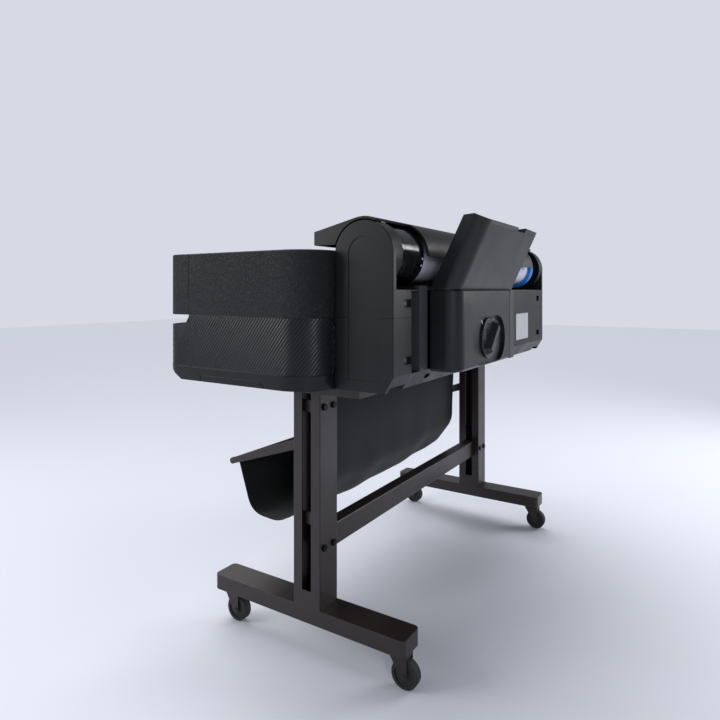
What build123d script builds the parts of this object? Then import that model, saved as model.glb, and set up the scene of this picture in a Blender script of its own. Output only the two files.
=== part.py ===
from build123d import *
import os
from math import cos, radians, sin, sqrt

# Large-format roll printer on a stand.
# X runs along the paper roll, -Y is the front where sheets come out, +Z is up.
# The origin is on the floor under the middle of the whole object.
# Places are worked out from two directions: "inset" counts inward from an end housing's outer
# plane, and "ahead" counts forward from the rear plane of the housings. Heights are above the body's
# underside unless a name says floor.

# Paper roll and the parts on its axis
PAPER_WIDTH = 914.0
PAPER_R = 62.0
CORE_R = 29.0
CORE_BORE_R = 25.4
HUB_R = 74.0
HUB_LENGTH = 117.0
HUB_GROOVES = (24.0, 70.0)
CORE_PLUG = 40.0
FLANGE_WIDTH = 30.0
FLANGE_BORE_DEPTH = 12.0
DRIVE_GAP = 66.0
SPINDLE_R = 12.0
ROLL_AXIS_HEIGHT = 316.0
RUNNING_FIT = 0.05
CLEARANCE = 0.3

# End housings
END_PLATE = 14.0
RING_R = 79.0
RING_WIDTH = 32.0
BLOCK_WIDTH = 74.0
BLOCK_HEIGHT = 234.0
REAR_CHAMFER_HEIGHT = 38.0
REAR_CHAMFER_DEPTH = 23.0
PANEL_INSET_R = 41.0
PANEL_INSET_DEPTH = 1.5
POCKET_WIDTH = 35.0
POCKET_HEIGHT = 19.0
POCKET_DEPTH = 12.0
POCKET_LEVELS = (202.0, 70.0)

# Front body
BODY_DEPTH = 645.0
FRONT_OVERHANG = 90.0
FRONT_CORNER_R = 42.0
FRONT_HEIGHT = 327.0
SEAM_HEIGHT = 169.0
SHELL_WALL = 3.0
SLOT_DEPTH = 88.0
SLOT_REAR_HEIGHT = 18.0
SLOT_FRONT_HEIGHT = 27.0
CHAMFER_DEPTH = 60.0
CHAMFER_HEIGHT = 35.0
BAND_HEIGHT = 35.0
GROOVE = 1.2
RIB_DEPTH = 0.9
RIB_MARGIN = 1.4
HANDLE_LENGTH = 222.0
HANDLE_HEIGHT = 17.0
HANDLE_FROM_REAR = 292.0
DECK_DEPTH = 96.0
CAP_WIDTH = 143.0
PANEL_GAP = 1.0

# Roll cover
COVER_GAP = 2.5
COVER_WALL = 5.5
COVER_LIP_AHEAD = 218.0
COVER_LIP_TOP = 373.0
COVER_LIP_BOTTOM = 340.0
COVER_CUT_ANGLE = 22.0

# Rear sheet feeder
FEEDER_DEPTH = 77.0
FEEDER_CORNER_R = 39.0
FEEDER_INSET = 188.0
FEEDER_WIDTH = 383.0
FEEDER_BOTTOM = 31.0
FEEDER_TOP = 231.0
FEEDER_WALL = 3.0
FEEDER_POST_WIDTH = 41.0
RECESS_WIDTH = 250.0
RECESS_HEIGHT = 129.0
RECESS_DEPTH = 10.0
KNOB_R = 56.0
KNOB_INSET = 412.0
KNOB_LEVEL = 102.0
KNOB_DISC = 7.0
KNOB_GRIP_WIDTH = 26.0
KNOB_GRIP_HEIGHT = 17.0
KNOB_SHAFT_R = 8.0
KNOB_ANGLE = 45.0
SHEET_SLOT_WIDTH = 330.0
SHEET_SLOT_DEPTH = 24.0

# Paper support on the feeder
SUPPORT_HEIGHT = 188.0
SUPPORT_GAP = 3.0
SUPPORT_WALL = 3.0
SUPPORT_TILT = 24.5
SUPPORT_INSET = 3.5
SUPPORT_SKIRT = 45.0
SUPPORT_PIN_R = 3.0
SUPPORT_PIN_IN = 8.0
SUPPORT_LOW_GAP = 0.7
CHANNEL_DEPTH = 30.0
LIP_CLEAR = 5.5
CORNER_SWEEP = 8.5
LIP_LOW = 8.0
LIP_HIGH = 14.0
LIP_CORNER = 13.0
EXTENSION_WIDTH = 212.0
EXTENSION_LENGTH = 150.0
EXTENSION_CAP = 11.0
EXTENSION_NOTCH = 62.0
EXTENSION_OFFSET = 41.0

# Stand
BODY_LEVEL = 690.0
POST_WIDTH = 76.0
POST_DEPTH = 84.0
POST_INSET = 34.0
POST_AHEAD = 226.0
POST_WALL = 4.0
POST_SLOT = 28.0
HEAD_AHEAD = 108.0
HEAD_LENGTH = 322.0
HEAD_WEB = 24.0
HEAD_WALL = 4.0
FOOT_LENGTH = 600.0
FOOT_HEIGHT = 40.0
FOOT_WALL = 4.0
FOOT_AHEAD = -10.0
BEAM_HEIGHT = 60.0
BEAM_DEPTH = 40.0
BEAM_LEVEL = 250.0
WHEEL_R = 34.0
WHEEL_WIDTH = 24.0
WHEEL_TRAIL = 20.0
AXLE_R = 4.0
FORK_WALL = 3.0
STEM_R = 6.0
CASTER_INSET = 36.0
CASTER_HEIGHT = 88.0

# Catch basket, as points ahead of the rear plane and below the body's underside
BASKET_POINTS = ((325.0, -36.0), (334.0, -300.0), (420.0, -415.0), (540.0, -410.0), (590.0, -262.0))
BASKET_RADII = (70.0, 70.0, 60.0)
BASKET_ARM_LEVELS = (-150.0, -180.0)
BASKET_CLOTH = 2.5
BASKET_ROD_R = 6.0

# Print engine
FRAME_WALL = 3.0
FRAME_INSET = 156.0
PLATEN_HEIGHT = 160.0
PLATEN_LENGTH = 150.0
PLATEN_AHEAD = BODY_DEPTH - 247.0
FEED_AHEAD = PLATEN_AHEAD - 26.0
FEED_R = 12.0
PINCH_R = 8.0
RAIL_AHEAD = PLATEN_AHEAD - 46.0
RAIL_LEVEL = 236.0
RAIL_ROD_R = 7.0
CARRIAGE_WIDTH = 120.0
CARRIAGE_DEPTH = 118.0
CARRIAGE_HEIGHT = 92.0
HEAD_GAP = 3.0
PULLEY_R = 9.0
BELT_WIDTH = 8.0
BELT_THICKNESS = 1.5
CARTRIDGE_COUNT = 6
CARTRIDGE_WIDTH = 15.0
BUTTON_R = 7.0
BUTTON_TRAVEL = 1.5

# Sizes that follow
BODY_WIDTH = (2 * (END_PLATE + RING_WIDTH) + HUB_LENGTH + PAPER_WIDTH + FLANGE_WIDTH + DRIVE_GAP
              + 3 * PANEL_GAP)
X_END = BODY_WIDTH / 2
X_SIDE = X_END + FRONT_OVERHANG
HOUSING_DEPTH = 2 * RING_R
COVER_IN_R = RING_R + COVER_GAP
COVER_OUT_R = COVER_IN_R + COVER_WALL
SUPPORT_PIN_RISE = SUPPORT_PIN_IN + 0.5 * SUPPORT_GAP
SUPPORT_REACH = (FEEDER_DEPTH - SUPPORT_INSET - SUPPORT_PIN_IN + SUPPORT_PIN_IN * cos(radians(SUPPORT_TILT))
                 + (SUPPORT_HEIGHT - SUPPORT_PIN_RISE) * sin(radians(SUPPORT_TILT)))
Y_REAR = (BODY_DEPTH - SUPPORT_REACH) / 2
Y_BODY_REAR = Y_REAR - HOUSING_DEPTH - CLEARANCE
Y_BODY_FRONT = Y_REAR - BODY_DEPTH
Y_AXIS = Y_REAR - RING_R
Z_AXIS = BODY_LEVEL + ROLL_AXIS_HEIGHT
X_LID = X_SIDE - CAP_WIDTH
X_FRAME = X_SIDE - FRAME_INSET
X_EXIT = PAPER_WIDTH / 2 + 20


def ahead(distance):
    """Y of a place this far in front of the housings' rear plane."""
    return Y_REAR - distance


def level(height):
    """Z of a height above the body's underside."""
    return BODY_LEVEL + height


def near(inset):
    """X of a place this far in from the near end housing's outer plane."""
    return X_END - inset


def block(x, y, z):
    """Box between two values on each axis."""
    size = [abs(pair[1] - pair[0]) for pair in (x, y, z)]
    middle = [(pair[0] + pair[1]) / 2 for pair in (x, y, z)]
    return Pos(*middle) * Box(*size)


def along_x(face, x0, x1):
    """Extrude a face drawn in (y, z) between two X planes."""
    return extrude(Plane.YZ.offset(min(x0, x1)) * face, abs(x1 - x0))


def along_y(face, y0, y1):
    """Extrude a face drawn in (x, z) between two Y planes."""
    return extrude(Plane.XZ.offset(-max(y0, y1)) * face, abs(y1 - y0))


def along_z(face, z0, z1):
    """Extrude a face drawn in (x, y) between two Z planes."""
    return extrude(Plane.XY.offset(min(z0, z1)) * face, abs(z1 - z0))


def rod_x(y, z, r, x0, x1):
    """Round bar along X."""
    return along_x(Pos(y, z) * Circle(r), x0, x1)


def rod_y(x, z, r, y0, y1):
    """Round bar along Y."""
    return along_y(Pos(x, z) * Circle(r), y0, y1)


def rod_z(x, y, r, z0, z1):
    """Round bar along Z."""
    return along_z(Pos(x, y) * Circle(r), z0, z1)


def polygon(*points):
    """Face inside a closed run of straight lines."""
    return make_face(Polyline(*points, close=True))


def far(shape):
    """The same piece at the far end."""
    return mirror(shape, about=Plane.YZ)


def join(shapes):
    """Separate solids kept together in one node."""
    return Compound(children=[solid for shape in shapes for solid in shape.solids()])


# Outer bodywork at the front

def plan_face(inset):
    """Outline of the front body seen from above, with its two corner radii."""
    width = 2 * (X_SIDE - inset)
    depth = Y_BODY_REAR - Y_BODY_FRONT - 2 * inset
    face = Pos(0, (Y_BODY_REAR + Y_BODY_FRONT) / 2) * Rectangle(width, depth)
    rear = face.vertices().group_by(Axis.Y)[-1]
    face = fillet(rear, FRONT_OVERHANG - inset)
    front = face.vertices().group_by(Axis.Y)[0]
    return fillet(front, FRONT_CORNER_R - inset)


def band_groove(height):
    """Shallow groove round the whole front body."""
    outer = along_z(plan_face(-GROOVE), level(height) - GROOVE / 2, level(height) + GROOVE / 2)
    inner = along_z(plan_face(GROOVE), level(height) - GROOVE, level(height) + GROOVE)
    return outer - inner


def lower_profile(inset, top, strip_top):
    """Side view of the lower shell: sloped slot floor at the front and chamfered front edge."""
    slot_rear = ahead(BODY_DEPTH - SLOT_DEPTH) + inset
    drop = SLOT_FRONT_HEIGHT - SLOT_REAR_HEIGHT
    front = Y_BODY_FRONT + inset
    base = level(0) + inset
    slope_shift = inset * CHAMFER_HEIGHT / CHAMFER_DEPTH
    return polygon((Y_BODY_REAR - inset, base),
                   (Y_BODY_FRONT + CHAMFER_DEPTH + slope_shift, base),
                   (front, level(CHAMFER_HEIGHT) + slope_shift),
                   (front, strip_top - drop),
                   (slot_rear, strip_top),
                   (slot_rear, top),
                   (Y_BODY_REAR - inset, top))


def rib_recess(top, slot_floor):
    """Shallow band round the lower shell that its ribs stand in."""
    band = along_z(plan_face(-1), level(BAND_HEIGHT) + RIB_MARGIN, top - RIB_MARGIN)
    band -= along_z(plan_face(RIB_DEPTH), level(BAND_HEIGHT), top)
    drop = SLOT_FRONT_HEIGHT - SLOT_REAR_HEIGHT
    slot_rear = ahead(BODY_DEPTH - SLOT_DEPTH) + RIB_MARGIN
    above = polygon((Y_BODY_FRONT - 2, slot_floor - drop - RIB_MARGIN), (slot_rear, slot_floor - RIB_MARGIN),
                    (slot_rear, top), (Y_BODY_FRONT - 2, top))
    return band - along_x(above, -X_SIDE - 2, X_SIDE + 2)


def lower_shell():
    """Lower half of the front body with the sheet output slot and the band for its ribs."""
    top = level(SEAM_HEIGHT)
    slot_floor = top - SLOT_REAR_HEIGHT
    shape = along_z(plan_face(0), level(0), top)
    shape &= along_x(lower_profile(0, top, slot_floor), -X_SIDE, X_SIDE)
    cavity = along_z(plan_face(SHELL_WALL), level(SHELL_WALL), top + 1)
    cavity &= along_x(lower_profile(SHELL_WALL, top + 1, slot_floor - SHELL_WALL), -X_SIDE, X_SIDE)
    shape -= cavity
    shape -= band_groove(BAND_HEIGHT)
    shape -= rib_recess(top, slot_floor)
    shape -= block((X_FRAME, -X_FRAME), (Y_BODY_REAR - 2 * SHELL_WALL, Y_BODY_REAR + 1),
                   (level(PLATEN_HEIGHT) - 40, top + 1))
    exit_y = ahead(BODY_DEPTH - SLOT_DEPTH)
    shape -= block((-X_EXIT, X_EXIT), (exit_y - 1, exit_y + SHELL_WALL + 1), (slot_floor + 2, top + 1))
    rear_y = ahead(HANDLE_FROM_REAR)
    front_y = rear_y - HANDLE_LENGTH
    outline = polygon((rear_y, level(0) - 1), (rear_y - 22, level(HANDLE_HEIGHT)),
                      (front_y, level(HANDLE_HEIGHT)), (front_y, level(0) - 1))
    inner = polygon((rear_y - 2, level(0) - 2), (rear_y - 23, level(HANDLE_HEIGHT) - GROOVE),
                    (front_y + GROOVE, level(HANDLE_HEIGHT) - GROOVE), (front_y + GROOVE, level(0) - 2))
    line = along_x(outline - inner, X_SIDE - GROOVE, X_SIDE + 1)
    return shape - line - far(line)


def upper_block(z0, z1, inset):
    """Solid of the front body's upper half, used for each of its panels."""
    return along_z(plan_face(inset), z0, z1)


def upper_shell():
    """Hollow upper half of the front body before it is parted into panels."""
    base = level(SEAM_HEIGHT) + CLEARANCE
    top = level(FRONT_HEIGHT)
    shape = upper_block(base, top, 0)
    shape = chamfer(shape.edges().group_by(Axis.Z)[-1], 2.5)
    return shape - upper_block(base - 1, top - SHELL_WALL, SHELL_WALL)


def end_cap(upper):
    """Side panel of the upper half, from the rear corner to the front cover."""
    gap = PANEL_GAP / 2
    front = ahead(BODY_DEPTH - SLOT_DEPTH) + gap
    window = block((X_LID + gap, X_SIDE + 1), (front, Y_BODY_REAR + 1),
                   (level(SEAM_HEIGHT) - 1, level(FRONT_HEIGHT) + 1))
    return upper & window


def top_deck(upper):
    """Fixed strip of the top between the roll cover and the front cover."""
    gap = PANEL_GAP / 2
    x = X_LID - gap
    shape = upper & block((-x, x), (Y_DECK_FRONT, Y_BODY_REAR + 1),
                          (level(SEAM_HEIGHT) - 1, level(FRONT_HEIGHT) + 1))
    shape -= block((-X_FRAME, X_FRAME), (Y_BODY_REAR - 2 * SHELL_WALL, Y_BODY_REAR + 1),
                   (level(SEAM_HEIGHT) - 1, level(PLATEN_HEIGHT) + 70))
    return shape + cover_ears()


HINGE_IN = 12.0
HINGE_DROP = 4.5
HINGE_GAP = 2.0
HINGE_PIN_R = 1.8
EAR_R = 4.0
EAR_WIDTH = 12.0
Y_DECK_FRONT = Y_BODY_REAR - DECK_DEPTH


def flush_ear(x, y, top, y_wall):
    """Fixed ear of a flush hinge, held from under the panel behind it."""
    x0, x1 = x - EAR_WIDTH / 2, x + EAR_WIDTH / 2
    ear = rod_x(y, top - HINGE_DROP, EAR_R, x0, x1)
    ear += block((x0, x1), (y, y_wall + 10), (top - HINGE_DROP - EAR_R, top - SHELL_WALL - CLEARANCE))
    ear += block((x0, x1), (y_wall + 3, y_wall + 10), (top - HINGE_DROP, top - SHELL_WALL))
    return ear - rod_x(y, top - HINGE_DROP, HINGE_PIN_R, x0 - 1, x1 + 1)


def flush_pin(x, y, top):
    """Pin through an ear and the lugs beside it."""
    reach = EAR_WIDTH * 1.5 + CLEARANCE
    return rod_x(y, top - HINGE_DROP, HINGE_PIN_R, x - reach, x + reach)


def flush_lugs(lid, x, y, top, y_edge):
    """Add the two moving lugs of a flush hinge to a lid and cut its notch over the ear."""
    half = EAR_WIDTH / 2 + CLEARANCE
    lid -= block((x - half, x + half), (y - EAR_R - 1, y_edge + 1), (top - SHELL_WALL - 1, top + 1))
    for side in (-1, 1):
        x0 = x + side * (EAR_WIDTH + CLEARANCE) - EAR_WIDTH / 2
        lug = rod_x(y, top - HINGE_DROP, EAR_R, x0, x0 + EAR_WIDTH)
        lid += lug + block((x0, x0 + EAR_WIDTH), (y - EAR_R, y + EAR_R),
                           (top - HINGE_DROP, top - SHELL_WALL + 1))
        lid -= rod_x(y, top - HINGE_DROP, HINGE_PIN_R + RUNNING_FIT, x0 - 1, x0 + EAR_WIDTH + 1)
    return lid


def cover_hinge_x():
    """X of the two hinge stations of the front cover."""
    return (X_LID - 60.0, -(X_LID - 60.0))


def cover_ears():
    """Ears under the deck that hold the front cover's pins."""
    top = level(FRONT_HEIGHT)
    ears = Part()
    for x in cover_hinge_x():
        ears += flush_ear(x, Y_DECK_FRONT - HINGE_IN, top, Y_DECK_FRONT)
    return ears


def cover_hinge_pins():
    """Two pins that the front cover turns on."""
    return join([flush_pin(x, Y_DECK_FRONT - HINGE_IN, level(FRONT_HEIGHT)) for x in cover_hinge_x()])


def front_cover(upper):
    """Hinged cover: front strip over the output slot, and the lid with its window frame."""
    gap = PANEL_GAP / 2
    base = level(SEAM_HEIGHT) + CLEARANCE
    top = level(FRONT_HEIGHT)
    split = ahead(BODY_DEPTH - SLOT_DEPTH) - gap
    strip = upper & block((-X_SIDE - 1, X_SIDE + 1), (Y_BODY_FRONT - 1, split), (base - 1, top + 1))
    floor = along_z(plan_face(SHELL_WALL / 2), base, base + SHELL_WALL)
    strip += floor & block((-X_SIDE, X_SIDE), (Y_BODY_FRONT - 1, split), (base - 1, top))
    x = X_LID - gap
    y_rear = Y_DECK_FRONT - HINGE_GAP
    lid = block((-x, x), (split - 1, y_rear), (top - SHELL_WALL, top))
    lid -= window_block(0)
    shape = strip + lid
    for x_ear in cover_hinge_x():
        shape = flush_lugs(shape, x_ear, Y_DECK_FRONT - HINGE_IN, top, y_rear)
    return shape


WINDOW_WIDTH = 940.0
WINDOW_DEPTH = 170.0
WINDOW_LEDGE = 6.0


def window_block(clearance):
    """Space of the window in the lid, shrunk by a clearance."""
    middle = (Y_DECK_FRONT + ahead(BODY_DEPTH - SLOT_DEPTH)) / 2 - 18
    half_x = WINDOW_WIDTH / 2 - clearance
    half_y = WINDOW_DEPTH / 2 - clearance
    top = level(FRONT_HEIGHT)
    face = Pos(0, middle) * RectangleRounded(2 * half_x, 2 * half_y, 14)
    ledge = Pos(0, middle) * RectangleRounded(2 * (half_x - WINDOW_LEDGE), 2 * (half_y - WINDOW_LEDGE), 10)
    upper = along_z(face, top - SHELL_WALL / 2 + clearance / 2, top + 1 - clearance)
    return upper + along_z(ledge, top - SHELL_WALL - 1 + clearance, top)


def cover_window():
    """Smoked window seated on the ledge of the lid."""
    top = level(FRONT_HEIGHT)
    return window_block(0.15) & block((-X_LID, X_LID), (Y_BODY_FRONT, Y_BODY_REAR),
                                      (top - SHELL_WALL, top - 0.2))


# End housings and roll parts

def arch_face(radius):
    """Upright arch seen from the side, round about the roll axis."""
    low = level(0)
    foot = Pos(Y_AXIS, (low + Z_AXIS) / 2) * Rectangle(2 * radius, Z_AXIS - low)
    return foot + Pos(Y_AXIS, Z_AXIS) * Circle(radius)


def rear_chamfer():
    """Corner that the sloped rear foot takes off, drawn in (y, z)."""
    return polygon((Y_REAR + 1, level(REAR_CHAMFER_HEIGHT) + 1), (Y_REAR + 1, level(-1)),
                   (ahead(REAR_CHAMFER_DEPTH) - 0.6, level(-1)), (ahead(REAR_CHAMFER_DEPTH), level(0)),
                   (Y_REAR, level(REAR_CHAMFER_HEIGHT)))


def end_housing():
    """Arch plate with its inset panel, the ring round the spindle end, and the rear block."""
    shape = along_x(arch_face(RING_R), near(END_PLATE), near(0))
    rim = shape.faces().sort_by(Axis.X)[-1].edges()
    shape = chamfer([edge for edge in rim if edge.center().Z > level(SEAM_HEIGHT) + 20], 1.5)
    inset = arch_face(PANEL_INSET_R) & (Pos(Y_AXIS, Z_AXIS) * Rectangle(300, 2 * ROLL_AXIS_HEIGHT - 50))
    shape -= along_x(inset, near(PANEL_INSET_DEPTH), near(-1))
    shape += rod_x(Y_AXIS, Z_AXIS, RING_R, near(END_PLATE + RING_WIDTH), near(END_PLATE))
    shape -= rod_x(Y_AXIS, Z_AXIS, RING_R - 6, near(END_PLATE + RING_WIDTH + 1), near(END_PLATE + 10))
    shape += rod_x(Y_AXIS, Z_AXIS, SPINDLE_R + 8, near(END_PLATE + RING_WIDTH), near(END_PLATE))
    foot = block((near(END_PLATE + BLOCK_WIDTH), near(END_PLATE)),
                 (ahead(HOUSING_DEPTH), Y_REAR), (level(0), level(BLOCK_HEIGHT)))
    foot -= block((near(END_PLATE + BLOCK_WIDTH - 4), near(END_PLATE)),
                  (ahead(HOUSING_DEPTH - 4), ahead(POCKET_DEPTH + 4)), (level(-1), level(BLOCK_HEIGHT - 4)))
    shape += foot
    shape -= rod_x(Y_AXIS, Z_AXIS, SPINDLE_R + RUNNING_FIT, near(END_PLATE + RING_WIDTH + 1), near(8))
    for height in POCKET_LEVELS:
        shape -= block((near(END_PLATE + BLOCK_WIDTH + 1), near(END_PLATE + BLOCK_WIDTH - POCKET_WIDTH)),
                       (ahead(POCKET_DEPTH), Y_REAR + 1),
                       (level(height - POCKET_HEIGHT / 2), level(height + POCKET_HEIGHT / 2)))
    shape -= along_x(rear_chamfer(), near(-1), near(END_PLATE + BLOCK_WIDTH + 1))
    seam = level(SEAM_HEIGHT)
    groove = block((near(GROOVE), near(-1)), (ahead(HOUSING_DEPTH + 1), Y_REAR + 1),
                   (seam - GROOVE / 2, seam + GROOVE / 2))
    groove += block((near(END_PLATE + BLOCK_WIDTH + 1), near(-1)), (ahead(GROOVE), Y_REAR + 1),
                    (seam - GROOVE / 2, seam + GROOVE / 2))
    return shape - groove


def housing_screws():
    """Screws in the pockets of both end housings."""
    x = near(END_PLATE + BLOCK_WIDTH - POCKET_WIDTH / 2)
    screws = []
    for height in POCKET_LEVELS:
        screw = rod_y(x, level(height), 5, ahead(POCKET_DEPTH), ahead(POCKET_DEPTH - 4))
        screws += [screw, far(screw)]
    return join(screws)


def cover_arc(radius):
    """Disc about the roll axis, drawn in (y, z)."""
    return Pos(Y_AXIS, Z_AXIS) * Circle(radius)


def cover_section():
    """Roll cover seen from the side: arc over the roll and the wedge that ends in the lip."""
    lip_y = ahead(COVER_LIP_AHEAD)
    reach = COVER_LIP_AHEAD - RING_R
    rise = COVER_LIP_TOP - ROLL_AXIS_HEIGHT
    distance = sqrt(reach ** 2 + rise ** 2)
    # the wedge's top runs from the lip to where it touches the outer arc
    touch = sqrt(distance ** 2 - COVER_OUT_R ** 2)
    turn_sin = (reach * COVER_OUT_R - rise * touch) / distance ** 2
    turn_cos = (reach * touch + rise * COVER_OUT_R) / distance ** 2
    tangent_y = lip_y + touch * turn_cos
    tangent_z = level(COVER_LIP_TOP) + touch * turn_sin
    wedge = polygon((lip_y, level(COVER_LIP_BOTTOM)), (lip_y, level(COVER_LIP_TOP)),
                    (tangent_y, tangent_z), (Y_AXIS, Z_AXIS + COVER_IN_R),
                    (Y_AXIS, level(COVER_LIP_BOTTOM)))
    wedge = fillet(wedge.vertices().group_by(Axis.Y)[0], 3)
    wide = 2 * COVER_OUT_R
    upper_half = Pos(Y_AXIS, Z_AXIS + wide / 2) * Rectangle(2 * wide, wide)
    above_lip = Pos(Y_AXIS - wide, level(COVER_LIP_BOTTOM) + wide) * Rectangle(2 * wide, 2 * wide)
    rear = Pos(Y_AXIS + wide / 2, Z_AXIS + wide / 2) * Rectangle(wide, wide)
    arc = cover_arc(COVER_OUT_R) & (rear + (above_lip & upper_half))
    return (wedge + arc) - cover_arc(COVER_IN_R)


def roll_cover():
    """Curved cover that turns about the roll axis. Behind the top it is cut back beside the hubs."""
    section = cover_section()
    shape = along_x(section, -X_END, X_END)
    lip_y = ahead(COVER_LIP_AHEAD)
    pocket = polygon((lip_y + COVER_WALL, level(COVER_LIP_BOTTOM) - 1),
                     (lip_y + COVER_WALL, level(COVER_LIP_TOP) - 2 * COVER_WALL),
                     (lip_y + 62, level(COVER_LIP_TOP) + 8), (Y_AXIS - 40, level(COVER_LIP_BOTTOM) - 1))
    pocket -= cover_arc(COVER_OUT_R)
    shape -= along_x(pocket, -X_END + 6, X_END - 6)
    start = END_PLATE + RING_WIDTH + HUB_LENGTH + PANEL_GAP
    cut = polygon((Y_AXIS, Z_AXIS),
                  (Y_AXIS + 300 * sin(radians(COVER_CUT_ANGLE)), Z_AXIS + 300 * cos(radians(COVER_CUT_ANGLE))),
                  (Y_AXIS + 400, Z_AXIS + 100), (Y_AXIS + 400, Z_AXIS - 50), (Y_AXIS, Z_AXIS - 50))
    notch = along_x(cut, near(start), near(-1))
    shape = shape - notch - far(notch)
    shoe = cover_arc(COVER_IN_R + 1) - cover_arc(RING_R + CLEARANCE)
    shoe &= Pos(Y_AXIS - 14, Z_AXIS + 60) * Rectangle(100, 120)
    shoe = along_x(shoe, near(END_PLATE + RING_WIDTH - 6), near(END_PLATE + 6))
    return shape + shoe + far(shoe)


def spindle():
    """Steel spindle through both rings."""
    return rod_x(Y_AXIS, Z_AXIS, SPINDLE_R, -near(10), near(10))


X_ROLL = near(END_PLATE + RING_WIDTH + HUB_LENGTH + 2 * PANEL_GAP)


def hub_near():
    """Glossy cup between the near ring and the roll, with a plug in the roll's core."""
    x1 = near(END_PLATE + RING_WIDTH + PANEL_GAP)
    x0 = x1 - HUB_LENGTH
    shape = rod_x(Y_AXIS, Z_AXIS, HUB_R, x0, x1)
    shape = chamfer(shape.faces().sort_by(Axis.X)[-1].edges(), 2)
    shape -= rod_x(Y_AXIS, Z_AXIS, HUB_R - 5, x0 + 6, x1 + 1)
    shape += rod_x(Y_AXIS, Z_AXIS, SPINDLE_R + 8, x0, x1)
    shape += rod_x(Y_AXIS, Z_AXIS, CORE_BORE_R, x0 - CORE_PLUG, x0)
    for distance in HUB_GROOVES:
        ring = rod_x(Y_AXIS, Z_AXIS, HUB_R + 1, x1 - distance - GROOVE, x1 - distance)
        shape -= ring - rod_x(Y_AXIS, Z_AXIS, HUB_R - GROOVE, x1 - distance - GROOVE, x1 - distance)
    return shape - rod_x(Y_AXIS, Z_AXIS, SPINDLE_R, x0 - CORE_PLUG - 1, x1 + 1)


def flange_far():
    """Coloured disc at the far end of the roll, dished on its outer face."""
    x1 = X_ROLL - PAPER_WIDTH
    x0 = x1 - FLANGE_WIDTH
    shape = rod_x(Y_AXIS, Z_AXIS, HUB_R, x0, x1)
    shape = chamfer(shape.faces().sort_by(Axis.X)[0].edges(), 4)
    shape -= rod_x(Y_AXIS, Z_AXIS, HUB_R - 14, x0 - 1, x0 + FLANGE_BORE_DEPTH)
    shape += rod_x(Y_AXIS, Z_AXIS, CORE_BORE_R, x1, x1 + 40)
    return shape - rod_x(Y_AXIS, Z_AXIS, SPINDLE_R, x0 - 2, x1 + 41)


def roll_core():
    """Cardboard tube inside the paper."""
    shape = rod_x(Y_AXIS, Z_AXIS, CORE_R, X_ROLL - PAPER_WIDTH, X_ROLL)
    return shape - rod_x(Y_AXIS, Z_AXIS, CORE_BORE_R, X_ROLL - PAPER_WIDTH - 1, X_ROLL + 1)


def roll_paper():
    """Wound paper."""
    shape = rod_x(Y_AXIS, Z_AXIS, PAPER_R, X_ROLL - PAPER_WIDTH, X_ROLL)
    return shape - rod_x(Y_AXIS, Z_AXIS, CORE_R, X_ROLL - PAPER_WIDTH - 1, X_ROLL + 1)


# Rear bodywork

STRIP_INSET = 125.0
STRIP_WIDTH = 41.0
STRIP_HEIGHT = 244.0
WALL_AHEAD = 22.0
SILL_TOP = REAR_CHAMFER_HEIGHT
SILL_SLOT_INSET = 193.0
SILL_SLOT_WIDTH = 26.0
SILL_SLOT_LEVELS = (13.0, 25.0)
INNER_INSET = END_PLATE + BLOCK_WIDTH
BAY_FLOOR = 205.0


def base_pan():
    """Sheet tray under the roll bay, from the rear sill to the front body."""
    x = near(INNER_INSET) - CLEARANCE
    rear = ahead(WALL_AHEAD + FRAME_WALL)
    shape = block((-x, x), (Y_BODY_REAR + CLEARANCE, rear), (level(0), level(FRAME_WALL)))
    wall = block((x - FRAME_WALL, x), (Y_BODY_REAR + CLEARANCE, rear), (level(0), level(BAY_FLOOR)))
    return shape + wall + far(wall)


def rear_wall():
    """Bent sheet that closes the rear and makes the floor of the roll bay."""
    x = near(INNER_INSET + FRAME_WALL) - 2 * CLEARANCE
    upright = block((-x, x), (ahead(WALL_AHEAD + FRAME_WALL), ahead(WALL_AHEAD)),
                    (level(SILL_TOP), level(BLOCK_HEIGHT)))
    shelf = block((-x, x), (ahead(WALL_AHEAD + FRAME_WALL), ahead(CLEARANCE)),
                  (level(BLOCK_HEIGHT - FRAME_WALL), level(BLOCK_HEIGHT)))
    floor = block((-x, x), (Y_BODY_REAR + CLEARANCE, ahead(WALL_AHEAD)),
                  (level(BAY_FLOOR), level(BAY_FLOOR + FRAME_WALL)))
    return upright + shelf + floor


def rear_sill():
    """Foot rail along the rear edge, sloped like the housings' feet, with a lifting slot."""
    x = near(INNER_INSET) - CLEARANCE
    rear = ahead(WALL_AHEAD + FRAME_WALL)
    face = polygon((ahead(0), level(SILL_TOP)), (ahead(REAR_CHAMFER_DEPTH), level(0)),
                   (rear, level(0)), (rear, level(SILL_TOP)))
    shape = along_x(face, -x, x)
    for inset in (STRIP_INSET - 9.0, STRIP_INSET + STRIP_WIDTH + 6.0):
        groove = polygon((ahead(2), level(SILL_TOP + 1)), (ahead(REAR_CHAMFER_DEPTH + 1.2), level(-1)),
                         (ahead(-2), level(-1)), (ahead(-2), level(SILL_TOP + 1)))
        shape -= along_x(groove, near(inset + GROOVE), near(inset))
    slot = block((near(SILL_SLOT_INSET + SILL_SLOT_WIDTH / 2), near(SILL_SLOT_INSET - SILL_SLOT_WIDTH / 2)),
                 (ahead(REAR_CHAMFER_DEPTH), ahead(-1)), (level(SILL_SLOT_LEVELS[0]), level(SILL_SLOT_LEVELS[1])))
    return shape - fillet(slot.edges().filter_by(Axis.Y), 5)


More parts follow.
